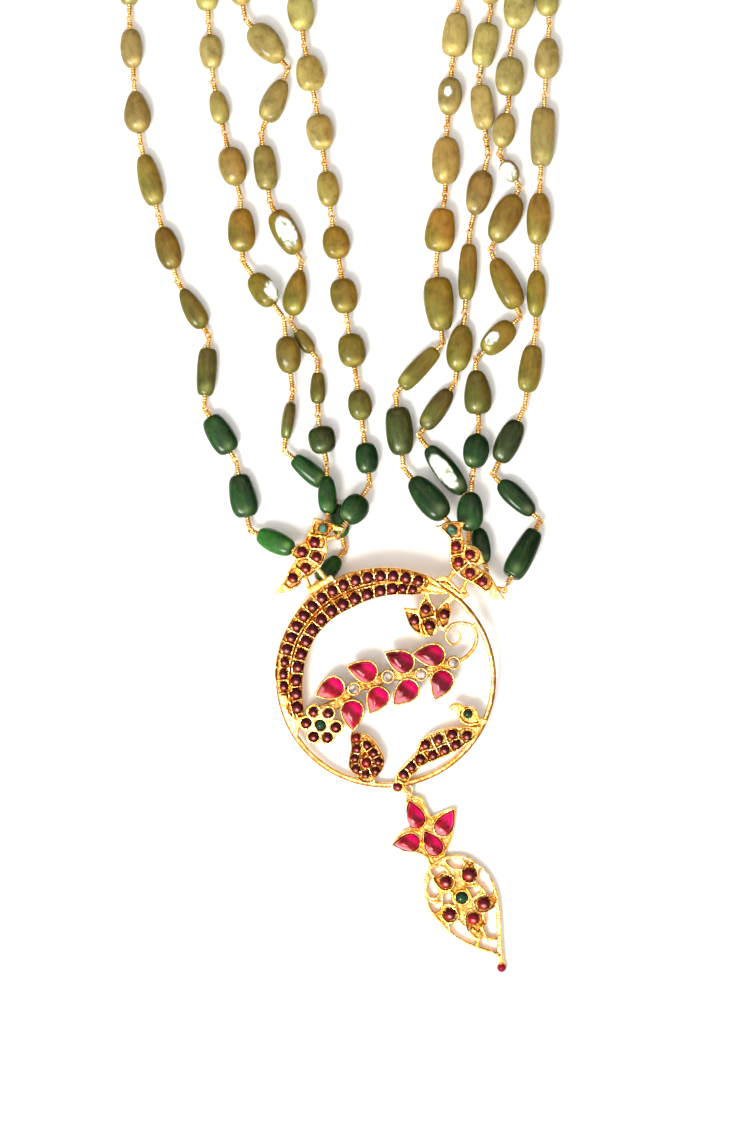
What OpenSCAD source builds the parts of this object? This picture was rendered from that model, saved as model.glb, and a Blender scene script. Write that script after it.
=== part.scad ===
// Temple necklace, lying flat: eight strings of tumbled beads, a clasp,
// and a round pendant with two birds and a pierced drop. Millimetres, +Z up.
// All tables are measured from the middle of the pendant's hoop, X to the right, Y towards the neck.

/* [Strings] */
// Radius of the hole drilled along a bead
bore_r = 0.5; // [0.45:0.05:0.6]
// Radius of the gold wire inside a bead
wire_r = 0.3; // [0.2:0.05:0.35]
// Radius of the wire wrapped outside a bead's ends
coil_r = 0.6; // [0.5:0.05:0.65]
// Radius of the knot where two wire loops link
loop_r = 0.85; // [0.7:0.05:0.9]
// Radius of the string's end ring, to the middle of its wire
end_ring_r = 0.8; // [0.8:0.05:0.9]
// Radius of the end ring's own wire
end_ring_wire_r = 0.25; // [0.2:0.05:0.25]

/* [Clasp] */
// Length of the clasp's barrel
clasp_barrel_l = 9; // [8:0.5:10]
// Radius of the clasp's barrel
clasp_barrel_r = 2; // [1.8:0.1:2.2]
// Radius of the clasp's rings, to the middle of the wire
clasp_ring_r = 3; // [2.8:0.1:3.2]
// Radius of the clasp's ring wire
clasp_wire_r = 0.4; // [0.3:0.05:0.4]

/* [Pendant] */
// Radius of the hoop, to the middle of its wire
hoop_r = 23.6; // [23.4:0.1:23.8]
// Width of the hoop's wire
hoop_w = 1.2; // [1:0.1:1.4]
// Height of the hoop's wire
hoop_h = 1.4; // [1.2:0.1:1.6]
// Height of the settings above the pendant's back
setting_h = 1.9; // [1.8:0.05:2]
// Thickness of the gold behind the stones
back_h = 0.9; // [0.8:0.05:1]
// Angle by which the birds' end is raised on the beads under it
tilt = 6.5; // [6:0.5:7]
// Height of the hoop's foot above the surface, on the drop's bail
foot_lift = 0.9; // [0.9:0.05:1]

/* [Stones] */
// Radius of a round ruby in the crescent
ruby_r = 1.1; // [1:0.05:1.1]
// Height of a round ruby
ruby_h = 1.3; // [1.2:0.1:1.6]
// Height of a pear-shaped ruby
pear_h = 2.2; // [1.8:0.1:2.4]
// Play round a stone in its setting
stone_play = 0.1; // [0.1:0.01:0.12]
// Width of the gold rim round a pear or a round setting
rim_w = 0.45; // [0.35:0.05:0.5]

/* [Drop] */
// Thickness of the pierced teardrop
drop_h = 2.2; // [2:0.1:2.4]
// Thickness of the four-petal setting
petal_h = 1.9; // [1.8:0.1:2]
// Radius of the bail and of the eyelet it hangs in, to the middle of the wire
bail_r = 1; // [1:0.05:1.05]
// Radius of the bail's wire
bail_wire_r = 0.35; // [0.3:0.01:0.35]

/* [Hidden] */

GOLD = "#e8b34b";
RUBY = "#7d1030";
PEAR_RUBY = "#c3164f";
EMERALD = "#1f6b45";
DIAMOND = "#c9c4bd";
BEAD = "#4f7a45";

// Middle of the whole necklace's box, which becomes the origin
BOX_MIDDLE = [-8.2, 83.4];

// Strings, from the clasp down. Each row is a wire knot and the bead below it:
// [x, y, lift of the knot off the surface, bead length, bead width, bead thickness]
// A row with no bead length is a bare link.
LEFT_1 = [
    [-27.5, 230.5, 0, 8.2, 5.2, 3.8],
    [-39, 227, 0, 8.4, 5, 3.6],
    [-48, 219, 0, 8, 5.4, 3.8],
    [-53, 208, 0, 8.6, 5.2, 3.6],
    [-55.5, 196, 0, 8.4, 5.6, 4],
    [-57, 183.5, 0, 9, 5.2, 3.8],
    [-57, 171, 0, 8.2, 5.4, 3.8],
    [-56.5, 159, 0, 8.4, 5.1, 3.6],
    [-56.5, 145.5, 0, 8.6, 5.1, 3.6],
    [-55.5, 131.5, 0, 9.2, 6.2, 4.4],
    [-54, 117.5, 0, 11.4, 5.3, 3.8],
    [-50, 101.5, 0, 9.5, 5.5, 4],
    [-46, 87.5, 0, 9.6, 4.8, 3.4],
    [-39, 75, 0, 10.4, 4.6, 3.4],
    [-40, 59.5, 0, 9, 5.9, 4.2],
    [-33, 47.5, 0, 9.5, 6.2, 4.4],
    [-30, 32.5, 0, 8.8, 5.1, 3.6],
];
LEFT_2 = [
    [-28.5, 223.5, 0, 8, 5, 3.6],
    [-36.5, 215, 0, 8.4, 5.4, 3.8],
    [-40.5, 203.5, 0, 8.4, 5.2, 3.8],
    [-42, 191.5, 0, 8, 5.6, 4],
    [-42, 180, 0, 7.8, 5.2, 3.6],
    [-41, 169, 0, 7.8, 5.4, 3.8],
    [-40, 158, 0, 8.4, 5.3, 3.8],
    [-39, 144, 0, 7.5, 5.3, 3.8],
    [-38, 131.5, 0, 7.3, 4.4, 3.2],
    [-35.5, 119.5, 0, 8.5, 6.2, 4.4],
    [-32, 105.5, 0, 9.5, 6.4, 4.6],
    [-31.5, 91.5, 0, 8.2, 5.7, 4.2],
    [-22.5, 79, 2.2, 8.1, 5.7, 4.2],
    [-20.5, 63, 0, 8.1, 3.1, 5],
    [-22.5, 50, 0, 8.6, 4.5, 3.2],
    [-11.5, 41, 0, 7.3, 4.4, 3.2],
    [-9, 28, 0, 7, 4.4, 3.2],
];
LEFT_3 = [
    [-25, 217.5, 0, 8.6, 5.2, 3.6],
    [-30.5, 206.5, 0, 8.2, 5.4, 3.8],
    [-33.5, 195, 0, 8, 5.6, 4],
    [-34.5, 183.5, 0, 8, 5.2, 3.8],
    [-34.5, 172, 0, 8.4, 5.4, 3.8],
    [-33.5, 160, 0, 9.2, 5.7, 4.2],
    [-31, 145, 0, 10.1, 6.6, 4.8],
    [-21.5, 134, 0, 9.9, 5.7, 4.2],
    [-27.5, 120, 0, 9.7, 5.3, 3.8],
    [-25.5, 104.5, 0, 10.5, 5.9, 4.2],
    [-18.5, 91.5, 0, 10.1, 5.5, 4],
    [-21, 78, 0, 5.9, 3.3, 2.4],
    [-15, 70, 0, 6.8, 3.6, 2.6],
    [-15, 57.5, 0, 5.9, 6.2, 4.4],
    [-13, 47, 1.7, 8.4, 4.3, 3.2],
];
LEFT_4 = [
    [-19, 214, 0, 8.6, 5.4, 3.8],
    [-21.5, 202, 0, 8.4, 5.2, 3.6],
    [-23, 190, 0, 8.4, 5.6, 4],
    [-23, 178, 0, 8.2, 5.4, 3.8],
    [-22, 166, 0, 8.8, 5.6, 4],
    [-19.5, 153.5, 0, 8.4, 6.2, 4.4],
    [-18, 139.5, 0, 7.9, 6.4, 4.6],
    [-15.5, 126.5, 0, 7.9, 6.4, 4.6],
    [-13.5, 113.5, 0, 7.8, 5.1, 3.6],
    [-12, 101.5, 0, 7.3, 6.2, 4.4],
    [-10, 90, 0, 7.7, 6.2, 4.4],
    [-8.5, 78, 0, 7.4, 6.4, 4.6],
    [-6.5, 66, 0, 6.8, 5.5, 4],
    [-5, 54, 0, 6.7, 5.3, 3.8],
    [-3.5, 42.5, 1.5, 6.8, 6.2, 4.4],
];
RIGHT_1 = [
    [2, 214, 0, 7.8, 5.2, 3.8],
    [5, 203, 0, 8, 5.4, 3.8],
    [8, 192, 0, 7.8, 5.6, 4],
    [11, 181, 0, 8, 5.2, 3.6],
    [13.5, 170, 0, 7.8, 5.4, 3.8],
    [15, 159, 0, 7.2, 5.4, 4],
    [16, 148.5, 0, 9.5, 5.9, 4.2],
    [14.5, 134.5, 0, 8.4, 5.7, 4.2],
    [13.5, 121.5, 0, 10.4, 6.5, 4.6],
    [13, 106, 0, 9.5, 6.8, 4.8],
    [11, 91, 0, 11.7, 6.8, 4.8],
    [12.4, 73.5, 0, 11.2, 4.4, 3.2],
    [2.1, 62.5, 0, 10.6, 6.2, 4.6],
    [3.9, 46, 0, 11.5, 6.4, 4.6],
];
RIGHT_2 = [
    [8, 217.5, 0, 8.2, 5.2, 3.6],
    [13, 207, 0, 8.6, 5.4, 3.8],
    [17, 195.5, 0, 8.6, 5.2, 3.8],
    [20, 183.5, 0, 9, 5.4, 4],
    [22, 171, 0, 8.8, 5.4, 3.8],
    [23, 158.5, 0, 8.4, 5.2, 3.8],
    [23, 146.5, 0, 9.6, 5.7, 4.2],
    [20.5, 132, 0, 9.8, 5.3, 3.8],
    [22, 119, 0, 0, 0, 0],
    [22.5, 115, 0, 9.9, 5.9, 4.2],
    [18.5, 98.5, 0, 12.3, 4.2, 3],
    [17.4, 80, 0, 10.3, 5.9, 4.2],
    [15.2, 65, 0, 10.3, 4.8, 3.4],
    [7.2, 53.2, 0, 13, 5.2, 3.6],
    [19.2, 38, 0, 8, 4.2, 2.4],
];
RIGHT_3 = [
    [11, 223.5, 0, 8, 5.2, 3.8],
    [20, 216.5, 0, 8.2, 5.4, 3.8],
    [25.5, 206, 0, 8.8, 5.2, 3.6],
    [29, 194, 0, 8.4, 5.6, 4],
    [30.5, 182, 0, 8.8, 5.2, 3.8],
    [31, 169.5, 0, 8.6, 5.4, 3.8],
    [31, 157, 0, 10.1, 6.8, 4.8],
    [27.5, 138.5, 0, 8.5, 6.5, 4.6],
    [27, 126, 0, 7.7, 5.1, 3.6],
    [25, 115, 0, 5.2, 4, 3],
    [29.5, 108, 0, 11.4, 6.6, 4.6],
    [23, 94, 0, 11.9, 5.8, 4.2],
    [29.7, 79.5, 0, 8.8, 5.7, 4.2],
    [19.7, 70, 0, 9.6, 6.6, 4.8],
    [20.5, 55.5, 0, 7.6, 5.9, 4.2],
    [19, 44.2, 1.7, 8.6, 6, 3.4],
];
RIGHT_4 = [
    [10.5, 230.5, 0, 8.2, 5.2, 3.8],
    [22, 227.5, 0, 8, 5, 3.6],
    [31, 220, 0, 8.2, 5.4, 3.8],
    [37, 210, 0, 8.2, 5.2, 3.6],
    [40, 198.5, 0, 8, 5.4, 4],
    [41, 187, 0, 7.8, 5.2, 3.8],
    [40, 176, 0, 7.6, 5.2, 3.6],
    [38, 165.5, 0, 7.6, 5, 3.6],
    [35, 155, 0, 7.9, 5.1, 3.6],
    [36, 144, 0, 9, 5.9, 4.2],
    [35, 128.5, 0, 12.8, 5.7, 4.2],
    [34, 109.5, 0, 11.4, 5.6, 4],
    [33.2, 92.5, 0, 10.1, 4.4, 3.2],
    [33, 76.5, 0, 10.3, 5.1, 3.6],
    [30.5, 59.5, 0, 10, 5.5, 4],
    [23.5, 44.5, 0, 10.3, 4.8, 3.4],
    [34, 34.5, 0, 11.9, 5.5, 4],
];
STRINGS = [LEFT_1, LEFT_2, LEFT_3, LEFT_4, RIGHT_1, RIGHT_2, RIGHT_3, RIGHT_4];

// Eyelet of each string on the pendant, in the pendant's own plane:
// [x, y, height above the pendant's back, angle at which the string dips under it]
EYES = [
    [-18.5, 27.5, -0.4, 90],
    [-16.2, 19.8, -0.4, 90],
    [-12.8, 33.6, -0.4, 90],
    [-10.7, 31.3, 0.1, 45],
    [14.8, 33.2, -0.4, 90],
    [22.8, 20.2, -0.4, 90],
    [18, 29, -0.4, 90],
    [25.9, 19.6, 0.7, 0],
];
eye_r = 0.6;
eye_wire_r = 0.2;

// Clasp's middle, and the angle at which each string leaves its ring
CLASP = [-8.5, 226];
FAN = [160, 192, 224, 256, -76, -44, -12, 20];

// Crescent: [angle round the hoop, radius]
CRESCENT_OUTER = [[50, 23.8], [58, 23.8], [66, 24.6], [85, 24.7], [125, 24.8], [150, 24.6], [178, 24.5],
    [186, 23.8], [214, 23.8]];
CRESCENT_INNER = [[50, 23.3], [54, 23.3], [58, 22.1], [66, 20.6], [73, 19.4], [85, 18.7], [100, 17.9],
    [115, 17.4], [130, 17.7], [150, 18], [175, 18.1], [190, 18.6], [202, 19.4], [207, 21], [214, 23.3]];
OUTER_ROW = [[72, 22.9], [150, 22.9], [184, 22.5]];
INNER_ROW = [[73, 20.8], [85, 20.2], [100, 19.3], [115, 19], [130, 19.3], [150, 19.5], [175, 19.5],
    [190, 20], [200, 20.6]];
OUTER_ANGLES = [for (i = [0:16]) 72 + 7 * i];
INNER_ANGLES = concat([73.5, 79.5, 86], [for (i = [0:12]) 93.5 + 8.7 * i]);
cell_w = 2.4;
narrow_cell_w = 2.1;

// Outlines in the pendant's plane, point by point: [x, y]
LEFT_BIRD = [
    [-15.9, 35.6], [-14.7, 35.4], [-13.2, 34.9], [-11, 34], [-9.2, 33.5], [-9.6, 32.8],
    [-11.6, 32.8], [-12.4, 31.9], [-13, 31.1], [-12.7, 28.8], [-13, 27.6], [-14.2, 24.9],
    [-16, 23.2], [-18.4, 21.8], [-18.7, 21], [-20.8, 19.6], [-22.2, 19.2], [-24.6, 18.8],
    [-23.1, 20.6], [-22.2, 21.8], [-21.5, 23.6], [-20.1, 25.7], [-19.8, 26.4], [-20.8, 27.3],
    [-20.3, 28.7], [-19.4, 29.8], [-18.1, 30.4], [-17.4, 31.8], [-16.3, 33.6], [-16, 34.6],
];
RIGHT_BIRD = [
    [17.3, 34.7], [16.7, 33.2], [16.8, 31.9], [17.6, 29.9], [18.3, 29.7], [19.5, 29.2],
    [20.5, 28.4], [21.2, 27.1], [21.6, 25.9], [20.6, 25.3], [19.8, 25.2], [20.9, 24.2],
    [22.4, 23.4], [23.4, 22], [24.4, 20.3], [25.4, 18.7], [26.5, 17.4], [25.4, 17.7],
    [23.8, 17.7], [22.9, 18.1], [21.7, 19.1], [20.6, 20.1], [18.6, 21.3], [17.1, 22.1],
    [15.6, 23.1], [14.6, 24.2], [14.1, 25.3], [13.9, 26.7], [13.9, 28.8], [13.8, 30.9],
    [13, 32.1], [12, 33], [10.8, 33.8], [11.9, 33.9], [12.9, 34.5], [13.9, 34.7], [15.6, 34.8],
];
RIGHT_PERCH = [
    [10.8, 22], [12.2, 22.7], [13.6, 22.5], [16.1, 19.8], [17.4, 20.1], [18.3, 18.3],
    [16.8, 17.7], [15, 18.3], [12.5, 20], [10.8, 21.2],
];
LEAVES = [
    [3.8, 15.8], [5.4, 15.6], [6.6, 15.5], [7.1, 15.9], [7.5, 17.2], [8.3, 18.3], [8.6, 19.6],
    [9.5, 19.6], [9.7, 18], [10.4, 16.5], [11.1, 15.4], [11.8, 16.2], [12.7, 17.3], [13.5, 18],
    [14.6, 18.9], [15.4, 17.9], [14.1, 16.7], [14.3, 15.4], [14.1, 14], [13.8, 12.7],
    [13.3, 11.6], [12.7, 10.6], [12, 10.7], [11.6, 11.8], [11.1, 10.2], [10.4, 9.7], [9.1, 9.3],
    [7.8, 9.6], [6.5, 10.5], [5.4, 11.6], [4.7, 13], [4.2, 14.5],
];
SCROLL = [
    [15.2, 3.9], [16.9, 4.4], [18.4, 5.6], [19.5, 7.2], [19.9, 9.1], [19.6, 10.7], [18.7, 11.8],
    [17.6, 12.2], [16, 12.3], [14.5, 11.9], [13.5, 10.7], [13.1, 9.4], [13.6, 8.2], [14.7, 7.5],
    [15.8, 8], [16.4, 9.1], [16, 10.1], [15.4, 10.5],
];
PAISLEY = [
    [-7.6, -11.7], [-5.6, -11.9], [-4, -12.4], [-2.5, -13.7], [-1.3, -15.5], [-0.4, -17.5],
    [-0.5, -19.5], [-1.4, -21], [-2.2, -21.9], [-2.5, -23.2], [-5.4, -22.8], [-6.6, -21.3],
    [-7.8, -20.2], [-8.3, -18.8], [-8, -16.8], [-7.7, -15.2], [-7.9, -13.3],
];
LOWER_HEAD = [
    [13.7, -6.4], [14.7, -5.5], [16, -5.4], [17.2, -6], [18.9, -6.1], [20.1, -7], [20.6, -8.5],
    [22.2, -8.9], [22, -9.8], [20.7, -10], [18.9, -10.3], [17.4, -10.1], [16.2, -9.3],
    [15.7, -8], [15.5, -7.1], [14.3, -6.8],
];
LOWER_BODY = [
    [20.9, -10.4], [20.4, -11.7], [19.4, -13.3], [17.7, -14.5], [15.5, -15.9], [13, -17.1],
    [10.5, -18.2], [8.1, -19.2], [6.8, -20.6], [5.4, -21.9], [4.4, -23.2], [2, -23.2],
    [2, -21.9], [2.6, -20.6], [4.2, -18.9], [5.7, -17.4], [6.6, -16.4], [7.1, -14.7],
    [8.1, -13.2], [9.6, -12.2], [11.8, -11.3], [13.8, -10.9], [16, -10.6], [18, -10.5],
];
SPRAY_STEM = [
    [-15.8, -7.6], [-10.6, -5.4], [-7, -2.1], [-3.1, -1], [0.4, 0.6], [4.2, 0.8], [7.7, 1.1],
    [11.4, 2.5], [14.8, 3.6],
];
PETALS = [
    [4.3, -26.5], [4.3, -27.6], [4.4, -28.9], [4.6, -30.6], [5.1, -32.1], [5.2, -33.5],
    [3.6, -33.9], [2.3, -35.3], [1.3, -37.1], [2.7, -37.6], [3.9, -38.3], [6.8, -38.8],
    [8.6, -39.6], [9.2, -40.6], [9.9, -41.8], [13, -40.8], [13, -39.2], [13.7, -37.4],
    [14.4, -35.8], [14.8, -33.9], [15.2, -31.4], [15.5, -29.1], [14.7, -28.7], [12.7, -29.4],
    [11.2, -30.1], [10, -30.6], [9.4, -29.6], [8.9, -28.6], [8.4, -27.2], [7.9, -26.5],
    [6.6, -26.1], [5.2, -26.1],
];
TEARDROP = [
    [13.1, -39.3], [15.9, -39], [18.2, -39.6], [20.4, -41.1], [22.2, -42.9], [23.7, -45.1],
    [24.6, -47.4], [25, -49.3], [25.3, -52.5], [25.5, -56.2], [25.7, -59.8], [25.9, -61.7],
    [25.9, -62.8], [25, -62.8], [24.7, -61.8], [22.4, -60.6], [19.9, -59.7], [17, -58.4],
    [14.6, -56.9], [12.8, -55.3], [11.1, -53.5], [10, -52], [9, -50.5], [8.4, -48.5],
    [8.2, -46.2], [8.4, -44.3], [9.1, -42.5], [10, -41.1],
];
// Openings cut through the teardrop, between the flower's stems
PIERCINGS = [
    [[13.2, -40.3], [14.6, -40], [16.2, -40], [16.9, -41.1], [16.8, -41.9], [15.1, -41.9], [14, -41.2]],
    [[10, -42.3], [11.3, -41.9], [12.8, -42.3], [13.4, -43], [12, -43.2], [11.1, -43.8], [10.3, -43.2]],
    [[9.9, -44], [10.6, -45.6], [11.7, -47.3], [10.9, -48.5], [9.9, -48.2], [9.2, -46.7], [9.4, -45.3]],
    [[20.8, -42], [22.2, -43.2], [23.3, -45.3], [23.7, -47.8], [22.6, -48.2], [21.5, -46.2], [20.1, -45.1]],
    [[17.9, -46.2], [20.6, -46.3], [20.8, -46.9], [19.1, -48.4], [18.6, -47.1]],
    [[12.8, -47.8], [14.3, -47.6], [14.4, -48.7], [15, -50], [13.7, -49.6], [12.7, -50]],
    [[9.4, -49.4], [10.1, -49.8], [11.9, -50], [11.9, -51.1], [10.8, -51.9], [9.9, -50.9]],
    [[14, -54.4], [16, -54], [17.3, -55.5], [18.4, -56.6], [19.9, -58], [19.7, -59], [17, -57.8],
        [14.9, -56.4]],
    [[21.7, -52.2], [24.1, -50.5], [24.4, -57.3], [22.4, -57.1], [21.5, -54.9], [22.2, -54.2]],
    [[21, -57.1], [22.4, -58], [24.4, -57.8], [24.5, -60.6], [20.6, -59.3]],
];

// Round stones of the pendant: [x, y, radius]
LEFT_BIRD_STONES = [[-15.6, 30.3, 1.05], [-18.4, 28.2, 1.05], [-15.2, 27, 1.05], [-17.6, 24.6, 1.05],
    [-20.4, 22.3, 1.05]];
RIGHT_BIRD_STONES = [[15.3, 29.4, 1.05], [18.4, 27.5, 1.05], [15.9, 25.9, 1.05], [18.4, 23.5, 1.05],
    [21.1, 21.6, 1.05]];
LEAF_STONES = [[6.2, 13.1, 1.05], [8.7, 15.5, 1.05], [9.5, 12, 1.05], [12.8, 14.4, 1.05]];
FLOWER_STONES = [[-15.9, -7.2, 0.95], [-12.7, -7.5, 0.95], [-11, -10.6, 0.95], [-12.9, -12.9, 0.95],
    [-15.9, -12.7, 0.95], [-17.5, -9.7, 0.95]];
PAISLEY_STONES = [[-6.5, -13, 0.85], [-6.4, -15.4, 0.85], [-6.8, -17.5, 0.85], [-6.6, -19.9, 0.85],
    [-4.5, -21.2, 0.85], [-2.3, -20.3, 0.85], [-1.7, -18.2, 0.85], [-2.7, -16.3, 0.85],
    [-4.2, -14.6, 0.85], [-4.3, -18.4, 0.9]];
LOWER_BIRD_STONES = [[17.8, -12.5, 1], [14.5, -12.2, 1], [11.6, -13.3, 1], [8.7, -14.5, 1],
    [15.4, -14.5, 1], [12.9, -15.6, 1], [10.3, -16.8, 1], [7.6, -17.7, 1], [5.6, -19.4, 1],
    [3.9, -21.1, 1]];
LEFT_EYE = [-13.8, 33.3, 1.05];
RIGHT_EYE = [14.4, 32.9, 1.1];
LOWER_EYE = [18, -7.7, 1];
FLOWER_CENTRE = [-14.4, -10.2, 1.05];
FOOT_STONE = [2.6, -23.8, 1];
DROP_STONES = [[18.3, -43.4, 1.4], [13.2, -45.1, 1.25], [21.6, -49.8, 1.35], [14.1, -52.2, 1.25],
    [19.3, -53.1, 1.25]];
DROP_CENTRE = [16.7, -48.5, 1.3];
END_STONE = [25.5, -63.95, 1.05];

// Pear-shaped rubies: [x, y, direction of the point, length, width]
SPRAY_PEARS = [[-12.4, -2.2, -157, 6.2, 4.4], [-5.2, 1.9, 164, 6.3, 4.4], [2.9, 4.2, 153, 6.4, 4.4],
    [9.4, 5.4, 178, 6.6, 4.5], [-7.4, -8, -89, 6.3, 4.5], [-2.1, -4.7, -117, 5.9, 4.4],
    [4.1, -3.1, -135, 6.4, 4.4], [12, -1.3, -112, 6.5, 4.5]];
DROP_PEARS = [[6.2, -30.2, 110, 6, 3.8], [13.2, -32, 58, 6.2, 3.7], [4.5, -36.5, -173, 5.6, 3.7],
    [10.1, -36.5, 121, 5.7, 3.6]];
// Cut diamonds: [x, y, radius]
DIAMONDS = [[-7, -2.1, 1.1], [0.4, 0.6, 1.1], [7.7, 1.1, 1.1], [14.8, 3.6, 1.1]];

// Eyelet under the hoop's foot and the direction of the drop's bail from it
FOOT_EYE = [4.8, -24.55];
BAIL_WAY = [0.45, -0.89];

fine = 48;
wire_fn = 24;
pear_n = 16;
wire_h = 1.2;

// Vector helpers
function unit(v) = v / norm(v);
function xy(p) = [p.x, p.y];
function upright(v) = [v.x, v.y, 0] / norm([v.x, v.y]);

// A point of the pendant's plane, tilted up about the hoop's foot
function raised(p) = [
    p.x,
    -hoop_r + (p.y + hoop_r) * cos(tilt) - p.z * sin(tilt),
    foot_lift + (p.y + hoop_r) * sin(tilt) + p.z * cos(tilt)
];

// Middle of the clasp's ring on one side
function clasp_ring(side) =
    [CLASP.x + side * (clasp_barrel_l / 2 + clasp_ring_r), CLASP.y, clasp_barrel_r];

// Middle of a knot: level with the thicker of its two beads, plus its own lift
function knot(r, i) = [r[i].x, r[i].y, r[i].z + max(r[i][5], r[max(i - 1, 0)][5]) / 2];

// Middle of a string's end ring in its eyelet on the pendant
function eye_way(s) = upright(STRINGS[s][len(STRINGS[s]) - 1] - EYES[s]);
function eye_down(s) = eye_way(s) * cos(EYES[s][3]) - [0, 0, sin(EYES[s][3])];
function lower_ring(s) = raised([EYES[s].x, EYES[s].y, EYES[s].z]) + end_ring_r * eye_down(s);

// Middle of a string's end ring on the clasp
function upper_ring(s) = clasp_ring(s < 4 ? -1 : 1)
    + clasp_ring_r * [cos(FAN[s]), sin(FAN[s]), 0];

// Left or right edge of a band of width w along the points p
function edge(p, w) = [for (i = [0:len(p) - 1]) let (
    t = unit(p[min(i + 1, len(p) - 1)] - p[max(i - 1, 0)]))
    p[i] + w / 2 * [-t.y, t.x]];
function band(p, w) = concat(edge(p, w), [for (i = [len(p) - 1:-1:0]) edge(p, -w)[i]]);

// Outline of a pear, point first: a circle pinched to a point at angle 0
function pear(l, w, n) = [for (i = [0:n - 1]) let (a = 360 * i / n)
    [l / 2 * cos(a), 0.65 * w * sin(a) * abs(sin(a / 2))]];

module tube(r, wire) {
    rotate_extrude($fn = fine) translate([r, 0]) circle(r = wire, $fn = wire_fn);
}

// Children built along +Z are turned to point from p to q
module along(p, q) {
    d = q - p;
    translate(p) rotate([0, acos(d.z / norm(d)), atan2(d.y, d.x)]) children();
}

module on_pendant() {
    translate([0, -hoop_r, foot_lift]) rotate([tilt, 0, 0]) translate([0, hoop_r, 0]) children();
}

module at_origin() {
    translate([-BOX_MIDDLE.x, -BOX_MIDDLE.y, 0]) children();
}

// Beads and wire

// A tumbled bead: a turned oval with a hole along it, ground flat above and below
module bead(l, w, h) {
    intersection() {
        rotate_extrude($fn = fine)
            polygon(concat(
                [[bore_r, l * 0.49], [bore_r, -l * 0.49]],
                [for (a = [-70:20:70]) [max(w, h) / 2 * pow(cos(a), 0.7), l / 2 * sin(a)]]));
        cube([h, w, l + 1], center = true);
    }
}

module bead_string(s) {
    r = STRINGS[s];
    n = len(r);
    color(BEAD) at_origin() for (i = [0:n - 1]) if (r[i][3] > 0) {
        p = knot(r, i);
        q = i < n - 1 ? knot(r, i + 1) : lower_ring(s);
        along(p, q) translate([0, 0, norm(q - p) / 2]) bead(r[i][3], r[i][4], r[i][5]);
    }
}

// Wire from p to q: thin through the bead, wrapped outside it, with a knot at p
module wire_piece(p, q, l, from, to) {
    span = norm(q - p);
    coil = l > 0 ? (span - l) / 2 - stone_play : span / 2;
    along(p, q) {
        translate([0, 0, from]) cylinder(h = span - from - to, r = wire_r, $fn = wire_fn);
        translate([0, 0, from]) cylinder(h = coil - from, r = coil_r, $fn = wire_fn);
        translate([0, 0, span - coil]) cylinder(h = coil - to, r = coil_r, $fn = wire_fn);
        if (from == 0) sphere(r = loop_r, $fn = wire_fn);
    }
}

module end_ring(p, q) {
    translate(p) rotate([0, 0, atan2(q.y - p.y, q.x - p.x)]) rotate([90, 0, 0])
        tube(end_ring_r, end_ring_wire_r);
}

module string_wire(s) {
    r = STRINGS[s];
    n = len(r);
    top = upper_ring(s);
    foot = lower_ring(s);
    color(GOLD) at_origin() {
        end_ring(top, knot(r, 0));
        wire_piece(top, knot(r, 0), 0, end_ring_r, 0);
        for (i = [0:n - 2]) wire_piece(knot(r, i), knot(r, i + 1), r[i][3], 0, 0);
        wire_piece(knot(r, n - 1), foot, r[n - 1][3], 0, end_ring_r);
        end_ring(foot, knot(r, n - 1));
    }
}

module clasp() {
    color(GOLD) at_origin() {
        for (side = [-1, 1]) translate(clasp_ring(side)) tube(clasp_ring_r, clasp_wire_r);
        translate([CLASP.x, CLASP.y, clasp_barrel_r]) rotate([0, 90, 0])
            cylinder(h = clasp_barrel_l, r = clasp_barrel_r, center = true, $fn = fine);
    }
}

// Stones, each standing on z = 0

module cabochon(r, h) {
    rotate_extrude($fn = fine)
        polygon([[0, 0], [r, 0], [r, h * 0.3], [r * 0.94, h * 0.55], [r * 0.74, h * 0.82],
            [r * 0.4, h * 0.96], [0, h]]);
}

module cut_stone(r, h) {
    cylinder(h = h * 0.4, r = r, $fn = 8);
    translate([0, 0, h * 0.4]) cylinder(h = h * 0.6, r1 = r, r2 = r * 0.55, $fn = 8);
}

// A pear-shaped dome: rings of the pear's outline, drawn in towards its round end
module pear_stone(l, w, h) {
    n = pear_n;
    ring = pear(l, w, n);
    // [height, size of the ring]
    steps = [[0, 0.98], [0.3, 1], [0.62, 0.88], [0.86, 0.62]];
    mid = [-0.12 * l, 0];
    points = concat(
        [for (s = steps) for (p = ring) concat(mid + s[1] * (p - mid), s[0] * h)],
        [[mid.x, 0, h]]);
    top = n * len(steps);
    faces = concat(
        [[for (i = [0:n - 1]) i]],
        [for (k = [0:len(steps) - 2]) for (i = [0:n - 1]) let (j = (i + 1) % n)
            [k * n + i, (k + 1) * n + i, (k + 1) * n + j, k * n + j]],
        [for (i = [0:n - 1]) [top - n + i, top, top - n + (i + 1) % n]]);
    polyhedron(points, faces);
}

module seated(height) {
    translate([0, 0, height + stone_play]) children();
}

module pendant_stones(stones) {
    color(RUBY) at_origin() on_pendant() seated(back_h)
        for (s = stones) translate(xy(s)) cabochon(s[2], ruby_h);
}

module crescent_outer_rubies() {
    pendant_stones([for (a = OUTER_ANGLES) concat(
        lookup(a, OUTER_ROW) * [cos(a), sin(a)], a > 165 ? ruby_r - 0.15 : ruby_r)]);
}

module crescent_inner_rubies() {
    pendant_stones([for (a = INNER_ANGLES) concat(
        lookup(a, INNER_ROW) * [cos(a), sin(a)], a < 83 ? ruby_r - 0.25 : ruby_r)]);
}

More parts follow.
